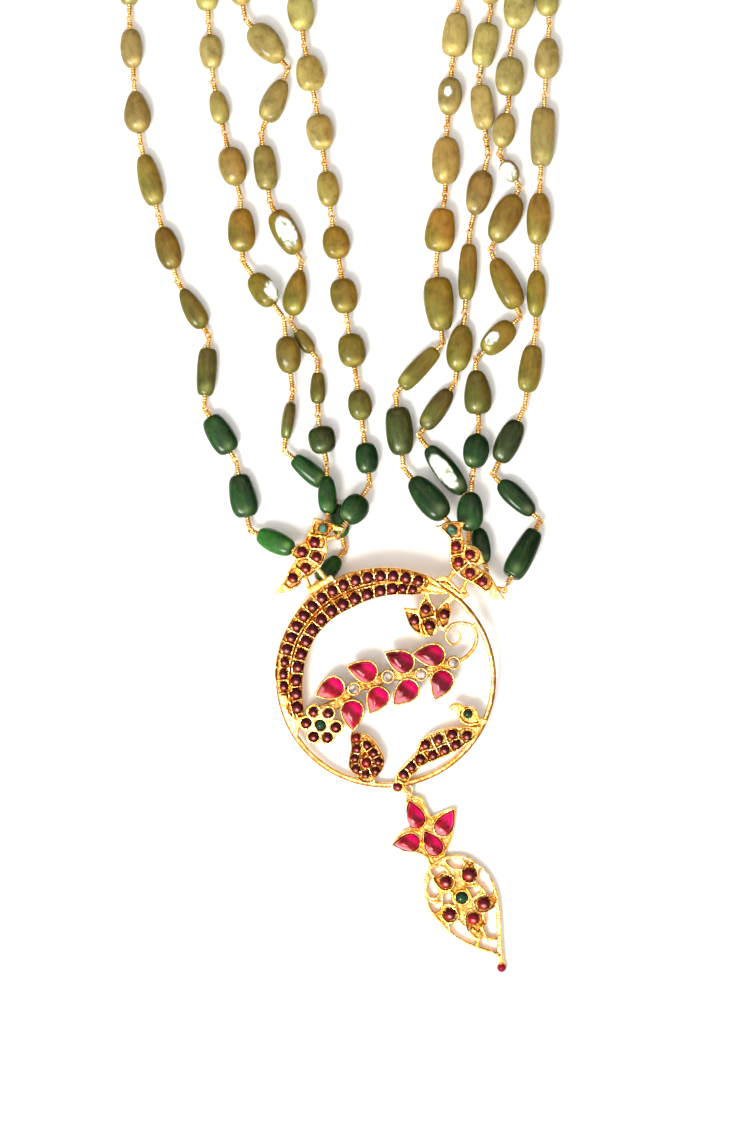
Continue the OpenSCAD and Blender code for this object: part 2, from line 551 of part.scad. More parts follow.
module left_bird_rubies() pendant_stones(LEFT_BIRD_STONES);
module right_bird_rubies() pendant_stones(RIGHT_BIRD_STONES);
module leaf_rubies() pendant_stones(LEAF_STONES);
module flower_rubies() pendant_stones(FLOWER_STONES);
module paisley_rubies() pendant_stones(PAISLEY_STONES);
module lower_bird_rubies() pendant_stones(LOWER_BIRD_STONES);
module foot_ruby() pendant_stones([FOOT_STONE]);

module green_stone(s) {
    color(EMERALD) at_origin() on_pendant() seated(back_h) translate(xy(s)) cabochon(s[2], ruby_h);
}

module lower_bird_eye() green_stone(LOWER_EYE);
module flower_centre() green_stone(FLOWER_CENTRE);

module bird_eye(s) {
    color(EMERALD) at_origin() on_pendant() seated(back_h) translate(xy(s)) cut_stone(s[2], ruby_h);
}

module spray_ruby(i) {
    p = SPRAY_PEARS[i];
    color(PEAR_RUBY) at_origin() on_pendant() seated(back_h)
        translate(xy(p)) rotate(p[2]) pear_stone(p[3], p[4], pear_h);
}

module spray_diamond(i) {
    s = DIAMONDS[i];
    color(DIAMOND) at_origin() on_pendant() seated(back_h)
        translate(xy(s)) cut_stone(s[2], ruby_h);
}

module drop_ruby(i) {
    p = DROP_PEARS[i];
    color(PEAR_RUBY) at_origin() seated(back_h)
        translate(xy(p)) rotate(p[2]) pear_stone(p[3], p[4], pear_h);
}

module drop_flower_rubies() {
    color(RUBY) at_origin() seated(drop_h - 0.7)
        for (s = DROP_STONES) translate(xy(s)) cabochon(s[2], ruby_h);
}

module drop_flower_centre() {
    color(EMERALD) at_origin() seated(drop_h - 0.7)
        translate(xy(DROP_CENTRE)) cabochon(DROP_CENTRE[2], ruby_h);
}

module end_ruby() {
    color(RUBY) at_origin() translate([END_STONE.x, END_STONE.y, END_STONE[2] + stone_play])
        sphere(r = END_STONE[2], $fn = fine);
}

// Pendant frame, as flat outlines

module crescent_plan() {
    angles = [for (a = [50:4:214]) a];
    polygon(concat(
        [for (a = angles) lookup(a, CRESCENT_OUTER) * [cos(a), sin(a)]],
        [for (i = [len(angles) - 1:-1:0]) lookup(angles[i], CRESCENT_INNER)
            * [cos(angles[i]), sin(angles[i])]]));
}

module pear_plan(p, margin) {
    translate(xy(p)) rotate(p[2]) offset(delta = margin) polygon(pear(p[3], p[4], pear_n));
}

module round_plans(stones, margin) {
    for (s = stones) translate(xy(s)) circle(r = s[2] + margin, $fn = wire_fn);
}

// Everything as high as the settings
module setting_plan() {
    offset(delta = -0.1) offset(delta = 0.1) {
        crescent_plan();
        polygon(LEFT_BIRD);
        polygon(RIGHT_BIRD);
        polygon(LEAVES);
        polygon(PAISLEY);
        polygon(LOWER_HEAD);
        polygon(LOWER_BODY);
        round_plans(FLOWER_STONES, 0.75);
        round_plans([FLOWER_CENTRE, FOOT_STONE], rim_w);
        round_plans(DIAMONDS, rim_w);
        for (p = SPRAY_PEARS) pear_plan(p, rim_w);
    }
}

// Everything as low as the hoop
module wire_plan() {
    offset(delta = -0.1) offset(delta = 0.1) {
        polygon(band(SCROLL, 0.9));
        polygon(band([[18.6, 11.4], [20.4, 12.2]], 0.8));
        polygon(band(SPRAY_STEM, 2.4));
        polygon(band([[-15.2, 24.6], [-13, 21.8]], 0.9));
        polygon(band([[-17.8, 22.7], [-16.4, 19.2]], 0.9));
        polygon(band([[-17, 19.4], [-11.6, 22.3]], 1.1));
        polygon(band([[14.9, 23.8], [13.5, 21.6]], 0.9));
        polygon(band([[17.8, 21.9], [16.4, 19]], 0.9));
        polygon(RIGHT_PERCH);
        polygon(band([[-13, 30.9], [-11.3, 31.2]], 0.6));
        polygon(band([[24.2, 20], [25.4, 19.8]], 0.8));
    }
}

// The pockets that hold the stones
module pocket_plan() {
    for (a = OUTER_ANGLES)
        rotate(a) translate([lookup(a, OUTER_ROW), 0])
            square([a > 165 ? narrow_cell_w : cell_w, cell_w], center = true);
    for (a = INNER_ANGLES) let (w = a < 83 ? narrow_cell_w - 0.2 : cell_w)
        rotate(a) translate([lookup(a, INNER_ROW), 0]) square([w, w], center = true);
    round_plans(LEFT_BIRD_STONES, stone_play);
    round_plans(RIGHT_BIRD_STONES, stone_play);
    round_plans(LEAF_STONES, stone_play);
    round_plans(FLOWER_STONES, stone_play);
    round_plans(PAISLEY_STONES, stone_play);
    round_plans(LOWER_BIRD_STONES, stone_play);
    round_plans([LEFT_EYE, RIGHT_EYE, LOWER_EYE, FLOWER_CENTRE, FOOT_STONE], stone_play);
    round_plans(DIAMONDS, stone_play);
    for (p = SPRAY_PEARS) pear_plan(p, stone_play);
}

// The small ring that holds string s, soldered to the back or the edge of the pendant
module string_eye(s) {
    side = cross([0, 0, 1], eye_way(s));
    axis = cross(eye_down(s), side);
    e = EYES[s];
    along([e.x, e.y, e.z], [e.x, e.y, e.z] + axis) tube(eye_r, eye_wire_r);
}

module pendant_frame() {
    color(GOLD) at_origin() on_pendant() {
        difference() {
            union() {
                linear_extrude(setting_h) setting_plan();
                linear_extrude(wire_h) wire_plan();
                rotate_extrude($fn = 96) translate([hoop_r - hoop_w / 2, 0]) square([hoop_w, hoop_h]);
            }
            translate([0, 0, back_h]) linear_extrude(setting_h) pocket_plan();
        }
        for (s = [0:7]) string_eye(s);
        translate([FOOT_EYE.x, FOOT_EYE.y, hoop_h / 2]) tube(bail_r, bail_wire_r);
    }
}

// Drop

module petal_plan() {
    offset(delta = -0.1) offset(delta = 0.1) {
        polygon(PETALS);
        for (p = DROP_PEARS) pear_plan(p, 0.35);
    }
}

module teardrop_plan() {
    difference() {
        offset(delta = -0.1) offset(delta = 0.1) polygon(TEARDROP);
        difference() {
            for (p = PIERCINGS) polygon(p);
            round_plans(concat(DROP_STONES, [DROP_CENTRE]), 0.4);
        }
    }
}

module drop_frame() {
    bail = raised([FOOT_EYE.x, FOOT_EYE.y, hoop_h / 2]) + bail_r * unit(concat(BAIL_WAY, 0));
    color(GOLD) at_origin() {
        difference() {
            union() {
                linear_extrude(petal_h) petal_plan();
                linear_extrude(drop_h) teardrop_plan();
                translate([END_STONE.x, END_STONE.y + 0.8, END_STONE[2] + stone_play])
                    rotate([-90, 0, 0]) cylinder(h = 1.2, r1 = 0.8, r2 = 0.45, $fn = fine);
            }
            translate([0, 0, back_h]) linear_extrude(petal_h)
                for (p = DROP_PEARS) pear_plan(p, stone_play);
            translate([0, 0, drop_h - 0.7]) linear_extrude(petal_h)
                round_plans(concat(DROP_STONES, [DROP_CENTRE]), stone_play);
            translate([END_STONE.x, END_STONE.y, END_STONE[2] + stone_play])
                sphere(r = END_STONE[2] + stone_play, $fn = fine);
        }
        translate(bail) rotate([0, 0, atan2(BAIL_WAY.y, BAIL_WAY.x)]) rotate([90, 0, 0])
            tube(bail_r, bail_wire_r);
    }
}

for (s = [0:7]) {
    name = str(s < 4 ? "left_" : "right_", s % 4 + 1);
    bead_string(s);
    string_wire(s);
}
clasp();
pendant_frame();
crescent_outer_rubies();
crescent_inner_rubies();
left_bird_rubies();
bird_eye(LEFT_EYE);  // left_bird_eye
right_bird_rubies();
bird_eye(RIGHT_EYE);  // right_bird_eye
leaf_rubies();
flower_rubies();
flower_centre();
paisley_rubies();
lower_bird_rubies();
lower_bird_eye();
foot_ruby();
for (i = [0:7]) spray_ruby(i);
for (i = [0:3]) spray_diamond(i);
drop_frame();
for (i = [0:3]) drop_ruby(i);
drop_flower_rubies();
drop_flower_centre();
end_ruby();
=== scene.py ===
import math

import bpy
import numpy as np
from bpy.props import FloatProperty, FloatVectorProperty, IntProperty, PointerProperty
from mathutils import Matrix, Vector
from mathutils.geometry import delaunay_2d_cdt


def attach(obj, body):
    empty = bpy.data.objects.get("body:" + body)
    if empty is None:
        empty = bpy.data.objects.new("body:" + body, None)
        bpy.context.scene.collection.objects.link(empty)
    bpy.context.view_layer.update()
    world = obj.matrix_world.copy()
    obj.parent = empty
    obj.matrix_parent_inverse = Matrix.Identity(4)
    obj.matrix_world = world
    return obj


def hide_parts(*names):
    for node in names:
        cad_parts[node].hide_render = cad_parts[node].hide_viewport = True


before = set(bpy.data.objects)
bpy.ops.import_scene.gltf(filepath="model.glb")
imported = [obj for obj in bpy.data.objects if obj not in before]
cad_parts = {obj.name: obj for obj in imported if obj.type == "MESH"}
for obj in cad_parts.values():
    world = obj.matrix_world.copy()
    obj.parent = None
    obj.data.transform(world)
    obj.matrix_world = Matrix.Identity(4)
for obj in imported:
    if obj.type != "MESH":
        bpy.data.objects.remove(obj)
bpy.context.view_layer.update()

bl_info = {
    "name": "Temple necklace",
    "version": (1, 0, 0),
    "blender": (4, 5, 0),
    "location": "View3D > Sidebar > Necklace",
    "description": "Tumbled bead strings and a jewelled gold pendant, built on the packed frame",
    "category": "Add Mesh",
}

# Tables are in millimetres from the middle of the pendant's hoop, X right and Y towards the neck. The
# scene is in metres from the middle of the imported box.
MM = 0.001
BOX_MIDDLE = np.array([-8.2, 83.4, 0])
TURN, UP = 2 * np.pi, np.array([0, 0, 1.0])

# Each row is a wire knot and the bead below it, from the clasp down:
# knot's x, y and lift off the surface, bead's length, width and thickness.
STRINGS = {
    "left_1": [
        (-27.5, 230.5, 0, 8.2, 5.2, 3.8), (-39, 227, 0, 8.4, 5, 3.6), (-48, 219, 0, 8, 5.4, 3.8),
        (-53, 208, 0, 8.6, 5.2, 3.6), (-55.5, 196, 0, 8.4, 5.6, 4), (-57, 183.5, 0, 9, 5.2, 3.8),
        (-57, 171, 0, 8.2, 5.4, 3.8), (-56.5, 159, 0, 8.4, 5.1, 3.6), (-56.5, 145.5, 0, 8.6, 5.1, 3.6),
        (-55.5, 131.5, 0, 9.2, 6.2, 4.4), (-54, 117.5, 0, 11.4, 5.3, 3.8), (-50, 101.5, 0, 9.5, 5.5, 4),
        (-46, 87.5, 0, 9.6, 4.8, 3.4), (-39, 75, 0, 10.4, 4.6, 3.4), (-40, 59.5, 0, 9, 5.9, 4.2),
        (-33, 47.5, 0, 9.5, 6.2, 4.4), (-30, 32.5, 0, 8.8, 5.1, 3.6)],
    "left_2": [
        (-28.5, 223.5, 0, 8, 5, 3.6), (-36.5, 215, 0, 8.4, 5.4, 3.8), (-40.5, 203.5, 0, 8.4, 5.2, 3.8),
        (-42, 191.5, 0, 8, 5.6, 4), (-42, 180, 0, 7.8, 5.2, 3.6), (-41, 169, 0, 7.8, 5.4, 3.8),
        (-40, 158, 0, 8.4, 5.3, 3.8), (-39, 144, 0, 7.5, 5.3, 3.8), (-38, 131.5, 0, 7.3, 4.4, 3.2),
        (-35.5, 119.5, 0, 8.5, 6.2, 4.4), (-32, 105.5, 0, 9.5, 6.4, 4.6), (-31.5, 91.5, 0, 8.2, 5.7, 4.2),
        (-22.5, 79, 2.2, 8.1, 5.7, 4.2), (-20.5, 63, 0, 8.1, 3.1, 5), (-22.5, 50, 0, 8.6, 4.5, 3.2),
        (-11.5, 41, 0, 7.3, 4.4, 3.2), (-9, 28, 0, 7, 4.4, 3.2)],
    "left_3": [
        (-25, 217.5, 0, 8.6, 5.2, 3.6), (-30.5, 206.5, 0, 8.2, 5.4, 3.8), (-33.5, 195, 0, 8, 5.6, 4),
        (-34.5, 183.5, 0, 8, 5.2, 3.8), (-34.5, 172, 0, 8.4, 5.4, 3.8), (-33.5, 160, 0, 9.2, 5.7, 4.2),
        (-31, 145, 0, 10.1, 6.6, 4.8), (-21.5, 134, 0, 9.9, 5.7, 4.2), (-27.5, 120, 0, 9.7, 5.3, 3.8),
        (-25.5, 104.5, 0, 10.5, 5.9, 4.2), (-18.5, 91.5, 0, 10.1, 5.5, 4), (-21, 78, 0, 5.9, 3.3, 2.4),
        (-15, 70, 0, 6.8, 3.6, 2.6), (-15, 57.5, 0, 5.9, 6.2, 4.4), (-13, 47, 1.7, 8.4, 4.3, 3.2)],
    "left_4": [
        (-19, 214, 0, 8.6, 5.4, 3.8), (-21.5, 202, 0, 8.4, 5.2, 3.6), (-23, 190, 0, 8.4, 5.6, 4),
        (-23, 178, 0, 8.2, 5.4, 3.8), (-22, 166, 0, 8.8, 5.6, 4), (-19.5, 153.5, 0, 8.4, 6.2, 4.4),
        (-18, 139.5, 0, 7.9, 6.4, 4.6), (-15.5, 126.5, 0, 7.9, 6.4, 4.6), (-13.5, 113.5, 0, 7.8, 5.1, 3.6),
        (-12, 101.5, 0, 7.3, 6.2, 4.4), (-10, 90, 0, 7.7, 6.2, 4.4), (-8.5, 78, 0, 7.4, 6.4, 4.6),
        (-6.5, 66, 0, 6.8, 5.5, 4), (-5, 54, 0, 6.7, 5.3, 3.8), (-3.5, 42.5, 1.5, 6.8, 6.2, 4.4)],
    "right_1": [
        (2, 214, 0, 7.8, 5.2, 3.8), (5, 203, 0, 8, 5.4, 3.8), (8, 192, 0, 7.8, 5.6, 4),
        (11, 181, 0, 8, 5.2, 3.6), (13.5, 170, 0, 7.8, 5.4, 3.8), (15, 159, 0, 7.2, 5.4, 4),
        (16, 148.5, 0, 9.5, 5.9, 4.2), (14.5, 134.5, 0, 8.4, 5.7, 4.2), (13.5, 121.5, 0, 10.4, 6.5, 4.6),
        (13, 106, 0, 9.5, 6.8, 4.8), (11, 91, 0, 11.7, 6.8, 4.8), (12.4, 73.5, 0, 11.2, 4.4, 3.2),
        (2.1, 62.5, 0, 10.6, 6.2, 4.6), (3.9, 46, 0, 11.5, 6.4, 4.6)],
    "right_2": [
        (8, 217.5, 0, 8.2, 5.2, 3.6), (13, 207, 0, 8.6, 5.4, 3.8), (17, 195.5, 0, 8.6, 5.2, 3.8),
        (20, 183.5, 0, 9, 5.4, 4), (22, 171, 0, 8.8, 5.4, 3.8), (23, 158.5, 0, 8.4, 5.2, 3.8),
        (23, 146.5, 0, 9.6, 5.7, 4.2), (20.5, 132, 0, 9.8, 5.3, 3.8), (22, 119, 0, 0, 0, 0),
        (22.5, 115, 0, 9.9, 5.9, 4.2), (18.5, 98.5, 0, 12.3, 4.2, 3), (17.4, 80, 0, 10.3, 5.9, 4.2),
        (15.2, 65, 0, 10.3, 4.8, 3.4), (7.2, 53.2, 0, 13, 5.2, 3.6), (19.2, 38, 0, 8, 4.2, 2.4)],
    "right_3": [
        (11, 223.5, 0, 8, 5.2, 3.8), (20, 216.5, 0, 8.2, 5.4, 3.8), (25.5, 206, 0, 8.8, 5.2, 3.6),
        (29, 194, 0, 8.4, 5.6, 4), (30.5, 182, 0, 8.8, 5.2, 3.8), (31, 169.5, 0, 8.6, 5.4, 3.8),
        (31, 157, 0, 10.1, 6.8, 4.8), (27.5, 138.5, 0, 8.5, 6.5, 4.6), (27, 126, 0, 7.7, 5.1, 3.6),
        (25, 115, 0, 5.2, 4, 3), (29.5, 108, 0, 11.4, 6.6, 4.6), (23, 94, 0, 11.9, 5.8, 4.2),
        (29.7, 79.5, 0, 8.8, 5.7, 4.2), (19.7, 70, 0, 9.6, 6.6, 4.8), (20.5, 55.5, 0, 7.6, 5.9, 4.2),
        (19, 44.2, 1.7, 8.6, 6, 3.4)],
    "right_4": [
        (10.5, 230.5, 0, 8.2, 5.2, 3.8), (22, 227.5, 0, 8, 5, 3.6), (31, 220, 0, 8.2, 5.4, 3.8),
        (37, 210, 0, 8.2, 5.2, 3.6), (40, 198.5, 0, 8, 5.4, 4), (41, 187, 0, 7.8, 5.2, 3.8),
        (40, 176, 0, 7.6, 5.2, 3.6), (38, 165.5, 0, 7.6, 5, 3.6), (35, 155, 0, 7.9, 5.1, 3.6),
        (36, 144, 0, 9, 5.9, 4.2), (35, 128.5, 0, 12.8, 5.7, 4.2), (34, 109.5, 0, 11.4, 5.6, 4),
        (33.2, 92.5, 0, 10.1, 4.4, 3.2), (33, 76.5, 0, 10.3, 5.1, 3.6), (30.5, 59.5, 0, 10, 5.5, 4),
        (23.5, 44.5, 0, 10.3, 4.8, 3.4), (34, 34.5, 0, 11.9, 5.5, 4)],
}

# A string's eyelet on the pendant: x, y, height above the back, and the angle at which it dips under.
# Then the angle at which the string leaves the clasp's ring.
ENDS = {
    "left_1": (-18.5, 27.5, -0.4, 90, 160), "left_2": (-16.2, 19.8, -0.4, 90, 192),
    "left_3": (-12.8, 33.6, -0.4, 90, 224), "left_4": (-10.7, 31.3, 0.1, 45, 256),
    "right_1": (14.8, 33.2, -0.4, 90, -76), "right_2": (22.8, 20.2, -0.4, 90, -44),
    "right_3": (18, 29, -0.4, 90, -12), "right_4": (25.9, 19.6, 0.7, 0, 20),
}
# The clasp's middle, length and radius, and the radius and wire of its rings
CLASP, CLASP_LENGTH, CLASP_RADIUS, CLASP_RING, CLASP_WIRE = (-8.5, 226), 9, 2, 3, 0.4
# Radius and wire of a string's end rings, and of the eyelets on the pendant
END_RING, END_WIRE, EYE_RING, EYE_WIRE = 0.8, 0.25, 0.6, 0.2
# A knot is two linked rings: how far each is drawn to its bead, half its width and half its length.
# Then how far from the knot the coil starts, and how much it rises in a turn, in wire radii.
KNOT_PULL, KNOT_WIDE, KNOT_LONG, COIL_START, COIL_RISE = 0.34, 0.62, 0.56, 0.83, 2.5
# How much of its measured width a bead fills, the angle at which its cap meets the hole, and the
# power of its section, which is round at 2 and square when very high
BEAD_FILL, BEAD_CAP, BEAD_SQUARE = 0.99, math.radians(84), 2.7
# Gap between a stone and its seat
STONE_PLAY = 0.1

# Pendant: the hoop's radius, width and height, then heights of rims, seats, stones and wire, and how
# the pendant tilts up from its foot
HOOP_R, HOOP_W, HOOP_H = 23.6, 1.2, 1.4
SETTING_H, BACK_H, STONE_H, PEAR_H, WIRE_H = 1.9, 0.9, 1.3, 2.2, 1.2
TILT, FOOT_LIFT = math.radians(6.5), 0.9
# Crescent, as angle and radius: its two edges and the middles of its two rows of stones
CRESCENT_OUTER = [(50, 23.8), (58, 23.8), (66, 24.6), (85, 24.7), (125, 24.8), (150, 24.6), (178, 24.5),
                  (186, 23.8), (214, 23.8)]
CRESCENT_INNER = [(50, 23.3), (54, 23.3), (58, 22.1), (66, 20.6), (73, 19.4), (85, 18.7), (100, 17.9),
                  (115, 17.4), (130, 17.7), (150, 18), (175, 18.1), (190, 18.6), (202, 19.4), (207, 21),
                  (214, 23.3)]
OUTER_ROW = [(72, 22.9), (150, 22.9), (184, 22.5)]
INNER_ROW = [(73, 20.8), (85, 20.2), (100, 19.3), (115, 19), (130, 19.3), (150, 19.5), (175, 19.5),
             (190, 20), (200, 20.6)]
# Angles of the stones
OUTER_ANGLES = 72 + 7 * np.arange(17)
INNER_ANGLES = np.append([73.5, 79.5, 86], 93.5 + 8.7 * np.arange(13))

# Outlines of the ornaments
LEFT_BIRD = [
    (-15.9, 35.6), (-14.7, 35.4), (-13.2, 34.9), (-11, 34), (-9.2, 33.5), (-9.6, 32.8), (-11.6, 32.8),
    (-12.4, 31.9), (-13, 31.1), (-12.7, 28.8), (-13, 27.6), (-14.2, 24.9), (-16, 23.2), (-18.4, 21.8),
    (-18.7, 21), (-20.8, 19.6), (-22.2, 19.2), (-24.6, 18.8), (-23.1, 20.6), (-22.2, 21.8),
    (-21.5, 23.6), (-20.1, 25.7), (-19.8, 26.4), (-20.8, 27.3), (-20.3, 28.7), (-19.4, 29.8),
    (-18.1, 30.4), (-17.4, 31.8), (-16.3, 33.6), (-16, 34.6)]
RIGHT_BIRD = [
    (17.3, 34.7), (16.7, 33.2), (16.8, 31.9), (17.6, 29.9), (18.3, 29.7), (19.5, 29.2), (20.5, 28.4),
    (21.2, 27.1), (21.6, 25.9), (20.6, 25.3), (19.8, 25.2), (20.9, 24.2), (22.4, 23.4), (23.4, 22),
    (24.4, 20.3), (25.4, 18.7), (26.5, 17.4), (25.4, 17.7), (23.8, 17.7), (22.9, 18.1), (21.7, 19.1),
    (20.6, 20.1), (18.6, 21.3), (17.1, 22.1), (15.6, 23.1), (14.6, 24.2), (14.1, 25.3), (13.9, 26.7),
    (13.9, 28.8), (13.8, 30.9), (13, 32.1), (12, 33), (10.8, 33.8), (11.9, 33.9), (12.9, 34.5),
    (13.9, 34.7), (15.6, 34.8)]
RIGHT_PERCH = [
    (10.8, 22), (12.2, 22.7), (13.6, 22.5), (16.1, 19.8), (17.4, 20.1), (18.3, 18.3), (16.8, 17.7),
    (15, 18.3), (12.5, 20), (10.8, 21.2)]
LEAVES = [
    (3.8, 15.8), (5.4, 15.6), (6.6, 15.5), (7.1, 15.9), (7.5, 17.2), (8.3, 18.3), (8.6, 19.6),
    (9.5, 19.6), (9.7, 18), (10.4, 16.5), (11.1, 15.4), (11.8, 16.2), (12.7, 17.3), (13.5, 18),
    (14.6, 18.9), (15.4, 17.9), (14.1, 16.7), (14.3, 15.4), (14.1, 14), (13.8, 12.7), (13.3, 11.6),
    (12.7, 10.6), (12, 10.7), (11.6, 11.8), (11.1, 10.2), (10.4, 9.7), (9.1, 9.3), (7.8, 9.6),
    (6.5, 10.5), (5.4, 11.6), (4.7, 13), (4.2, 14.5)]
SCROLL = [
    (15.2, 3.9), (16.9, 4.4), (18.4, 5.6), (19.5, 7.2), (19.9, 9.1), (19.6, 10.7), (18.7, 11.8),
    (17.6, 12.2), (16, 12.3), (14.5, 11.9), (13.5, 10.7), (13.1, 9.4), (13.6, 8.2), (14.7, 7.5),
    (15.8, 8), (16.4, 9.1), (16, 10.1), (15.4, 10.5)]
PAISLEY = [
    (-7.6, -11.7), (-5.6, -11.9), (-4, -12.4), (-2.5, -13.7), (-1.3, -15.5), (-0.4, -17.5),
    (-0.5, -19.5), (-1.4, -21), (-2.2, -21.9), (-2.5, -23.2), (-5.4, -22.8), (-6.6, -21.3),
    (-7.8, -20.2), (-8.3, -18.8), (-8, -16.8), (-7.7, -15.2), (-7.9, -13.3)]
LOWER_HEAD = [
    (13.7, -6.4), (14.7, -5.5), (16, -5.4), (17.2, -6), (18.9, -6.1), (20.1, -7), (20.6, -8.5),
    (22.2, -8.9), (22, -9.8), (20.7, -10), (18.9, -10.3), (17.4, -10.1), (16.2, -9.3), (15.7, -8),
    (15.5, -7.1), (14.3, -6.8)]
LOWER_BODY = [
    (20.9, -10.4), (20.4, -11.7), (19.4, -13.3), (17.7, -14.5), (15.5, -15.9), (13, -17.1),
    (10.5, -18.2), (8.1, -19.2), (6.8, -20.6), (5.4, -21.9), (4.4, -23.2), (2, -23.2), (2, -21.9),
    (2.6, -20.6), (4.2, -18.9), (5.7, -17.4), (6.6, -16.4), (7.1, -14.7), (8.1, -13.2), (9.6, -12.2),
    (11.8, -11.3), (13.8, -10.9), (16, -10.6), (18, -10.5)]
SPRAY_STEM = [(-15.8, -7.6), (-10.6, -5.4), (-7, -2.1), (-3.1, -1), (0.4, 0.6), (4.2, 0.8),
              (7.7, 1.1), (11.4, 2.5), (14.8, 3.6)]
# The birds' legs and three short links, and the step under the left bird
LEGS = [[(-15.2, 24.6), (-13, 21.8)], [(-17.8, 22.7), (-16.4, 19.2)], [(14.9, 23.8), (13.5, 21.6)],
        [(17.8, 21.9), (16.4, 19)], [(18.6, 11.4), (20.4, 12.2)], [(-13, 30.9), (-11.3, 31.2)],
        [(24.2, 20), (25.4, 19.8)]]
STEP = [(-17, 19.4), (-11.6, 22.3)]

# Drop
PETALS = [
    (4.3, -26.5), (4.3, -27.6), (4.4, -28.9), (4.6, -30.6), (5.1, -32.1), (5.2, -33.5), (3.6, -33.9),
    (2.3, -35.3), (1.3, -37.1), (2.7, -37.6), (3.9, -38.3), (6.8, -38.8), (8.6, -39.6), (9.2, -40.6),
    (9.9, -41.8), (13, -40.8), (13, -39.2), (13.7, -37.4), (14.4, -35.8), (14.8, -33.9),
    (15.2, -31.4), (15.5, -29.1), (14.7, -28.7), (12.7, -29.4), (11.2, -30.1), (10, -30.6),
    (9.4, -29.6), (8.9, -28.6), (8.4, -27.2), (7.9, -26.5), (6.6, -26.1), (5.2, -26.1)]
TEARDROP = [
    (13.1, -39.3), (15.9, -39), (18.2, -39.6), (20.4, -41.1), (22.2, -42.9), (23.7, -45.1),
    (24.6, -47.4), (25, -49.3), (25.3, -52.5), (25.5, -56.2), (25.7, -59.8), (25.9, -61.7),
    (25.9, -62.8), (25, -62.8), (24.7, -61.8), (22.4, -60.6), (19.9, -59.7), (17, -58.4),
    (14.6, -56.9), (12.8, -55.3), (11.1, -53.5), (10, -52), (9, -50.5), (8.4, -48.5), (8.2, -46.2),
    (8.4, -44.3), (9.1, -42.5), (10, -41.1)]
PIERCINGS = [
    [(13.2, -40.3), (14.6, -40), (16.2, -40), (16.9, -41.1), (16.8, -41.9), (15.1, -41.9), (14, -41.2)],
    [(10, -42.3), (11.3, -41.9), (12.8, -42.3), (13.4, -43), (12, -43.2), (11.1, -43.8), (10.3, -43.2)],
    [(9.9, -44), (10.6, -45.6), (11.7, -47.3), (10.9, -48.5), (9.9, -48.2), (9.2, -46.7), (9.4, -45.3)],
    [(20.8, -42), (22.2, -43.2), (23.3, -45.3), (23.7, -47.8), (22.6, -48.2), (21.5, -46.2),
     (20.1, -45.1)],
    [(17.9, -46.2), (20.6, -46.3), (20.8, -46.9), (19.1, -48.4), (18.6, -47.1)],
    [(12.8, -47.8), (14.3, -47.6), (14.4, -48.7), (15, -50), (13.7, -49.6), (12.7, -50)],
    [(9.4, -49.4), (10.1, -49.8), (11.9, -50), (11.9, -51.1), (10.8, -51.9), (9.9, -50.9)],
    [(14, -54.4), (16, -54), (17.3, -55.5), (18.4, -56.6), (19.9, -58), (19.7, -59), (17, -57.8),
     (14.9, -56.4)],
    [(21.7, -52.2), (24.1, -50.5), (24.4, -57.3), (22.4, -57.1), (21.5, -54.9), (22.2, -54.2)],
    [(21, -57.1), (22.4, -58), (24.4, -57.8), (24.5, -60.6), (20.6, -59.3)]]
# Heights of the teardrop, of its stones' seats and of the petals
DROP_H, DROP_SEAT, PETAL_H = 2.2, 1.5, 1.9
# The eyelet at the hoop's foot, and the way in which the bail leaves it
FOOT_EYE, BAIL_WAY = (4.8, -24.55), (0.45, -0.89)
BAIL_RING, BAIL_WIRE = 1, 0.35

# Round stones: x, y, radius.
STONES = {
    "left_bird_rubies": [(-15.6, 30.3, 1.05), (-18.4, 28.2, 1.05), (-15.2, 27, 1.05),
                         (-17.6, 24.6, 1.05), (-20.4, 22.3, 1.05)],
    "right_bird_rubies": [(15.3, 29.4, 1.05), (18.4, 27.5, 1.05), (15.9, 25.9, 1.05),
                          (18.4, 23.5, 1.05), (21.1, 21.6, 1.05)],
    "leaf_rubies": [(6.2, 13.1, 1.05), (8.7, 15.5, 1.05), (9.5, 12, 1.05), (12.8, 14.4, 1.05)],
    "flower_rubies": [(-15.9, -7.2, 0.95), (-12.7, -7.5, 0.95), (-11, -10.6, 0.95),
                      (-12.9, -12.9, 0.95), (-15.9, -12.7, 0.95), (-17.5, -9.7, 0.95)],
    "paisley_rubies": [(-6.5, -13, 0.85), (-6.4, -15.4, 0.85), (-6.8, -17.5, 0.85),
                       (-6.6, -19.9, 0.85), (-4.5, -21.2, 0.85), (-2.3, -20.3, 0.85),
                       (-1.7, -18.2, 0.85), (-2.7, -16.3, 0.85), (-4.2, -14.6, 0.85),
                       (-4.3, -18.4, 0.9)],
    "lower_bird_rubies": [(17.8, -12.5, 1), (14.5, -12.2, 1), (11.6, -13.3, 1), (8.7, -14.5, 1),
                          (15.4, -14.5, 1), (12.9, -15.6, 1), (10.3, -16.8, 1), (7.6, -17.7, 1),
                          (5.6, -19.4, 1), (3.9, -21.1, 1)],
    "foot_ruby": [(2.6, -23.8, 1)],
    "lower_bird_eye": [(18, -7.7, 1)],
    "flower_centre": [(-14.4, -10.2, 1.05)],
}
DROP_STONES = {
    "drop_flower_rubies": [(18.3, -43.4, 1.4), (13.2, -45.1, 1.25), (21.6, -49.8, 1.35),
                           (14.1, -52.2, 1.25), (19.3, -53.1, 1.25)],
    "drop_flower_centre": [(16.7, -48.5, 1.3)],
}
GREEN_STONES = ("lower_bird_eye", "flower_centre", "drop_flower_centre")
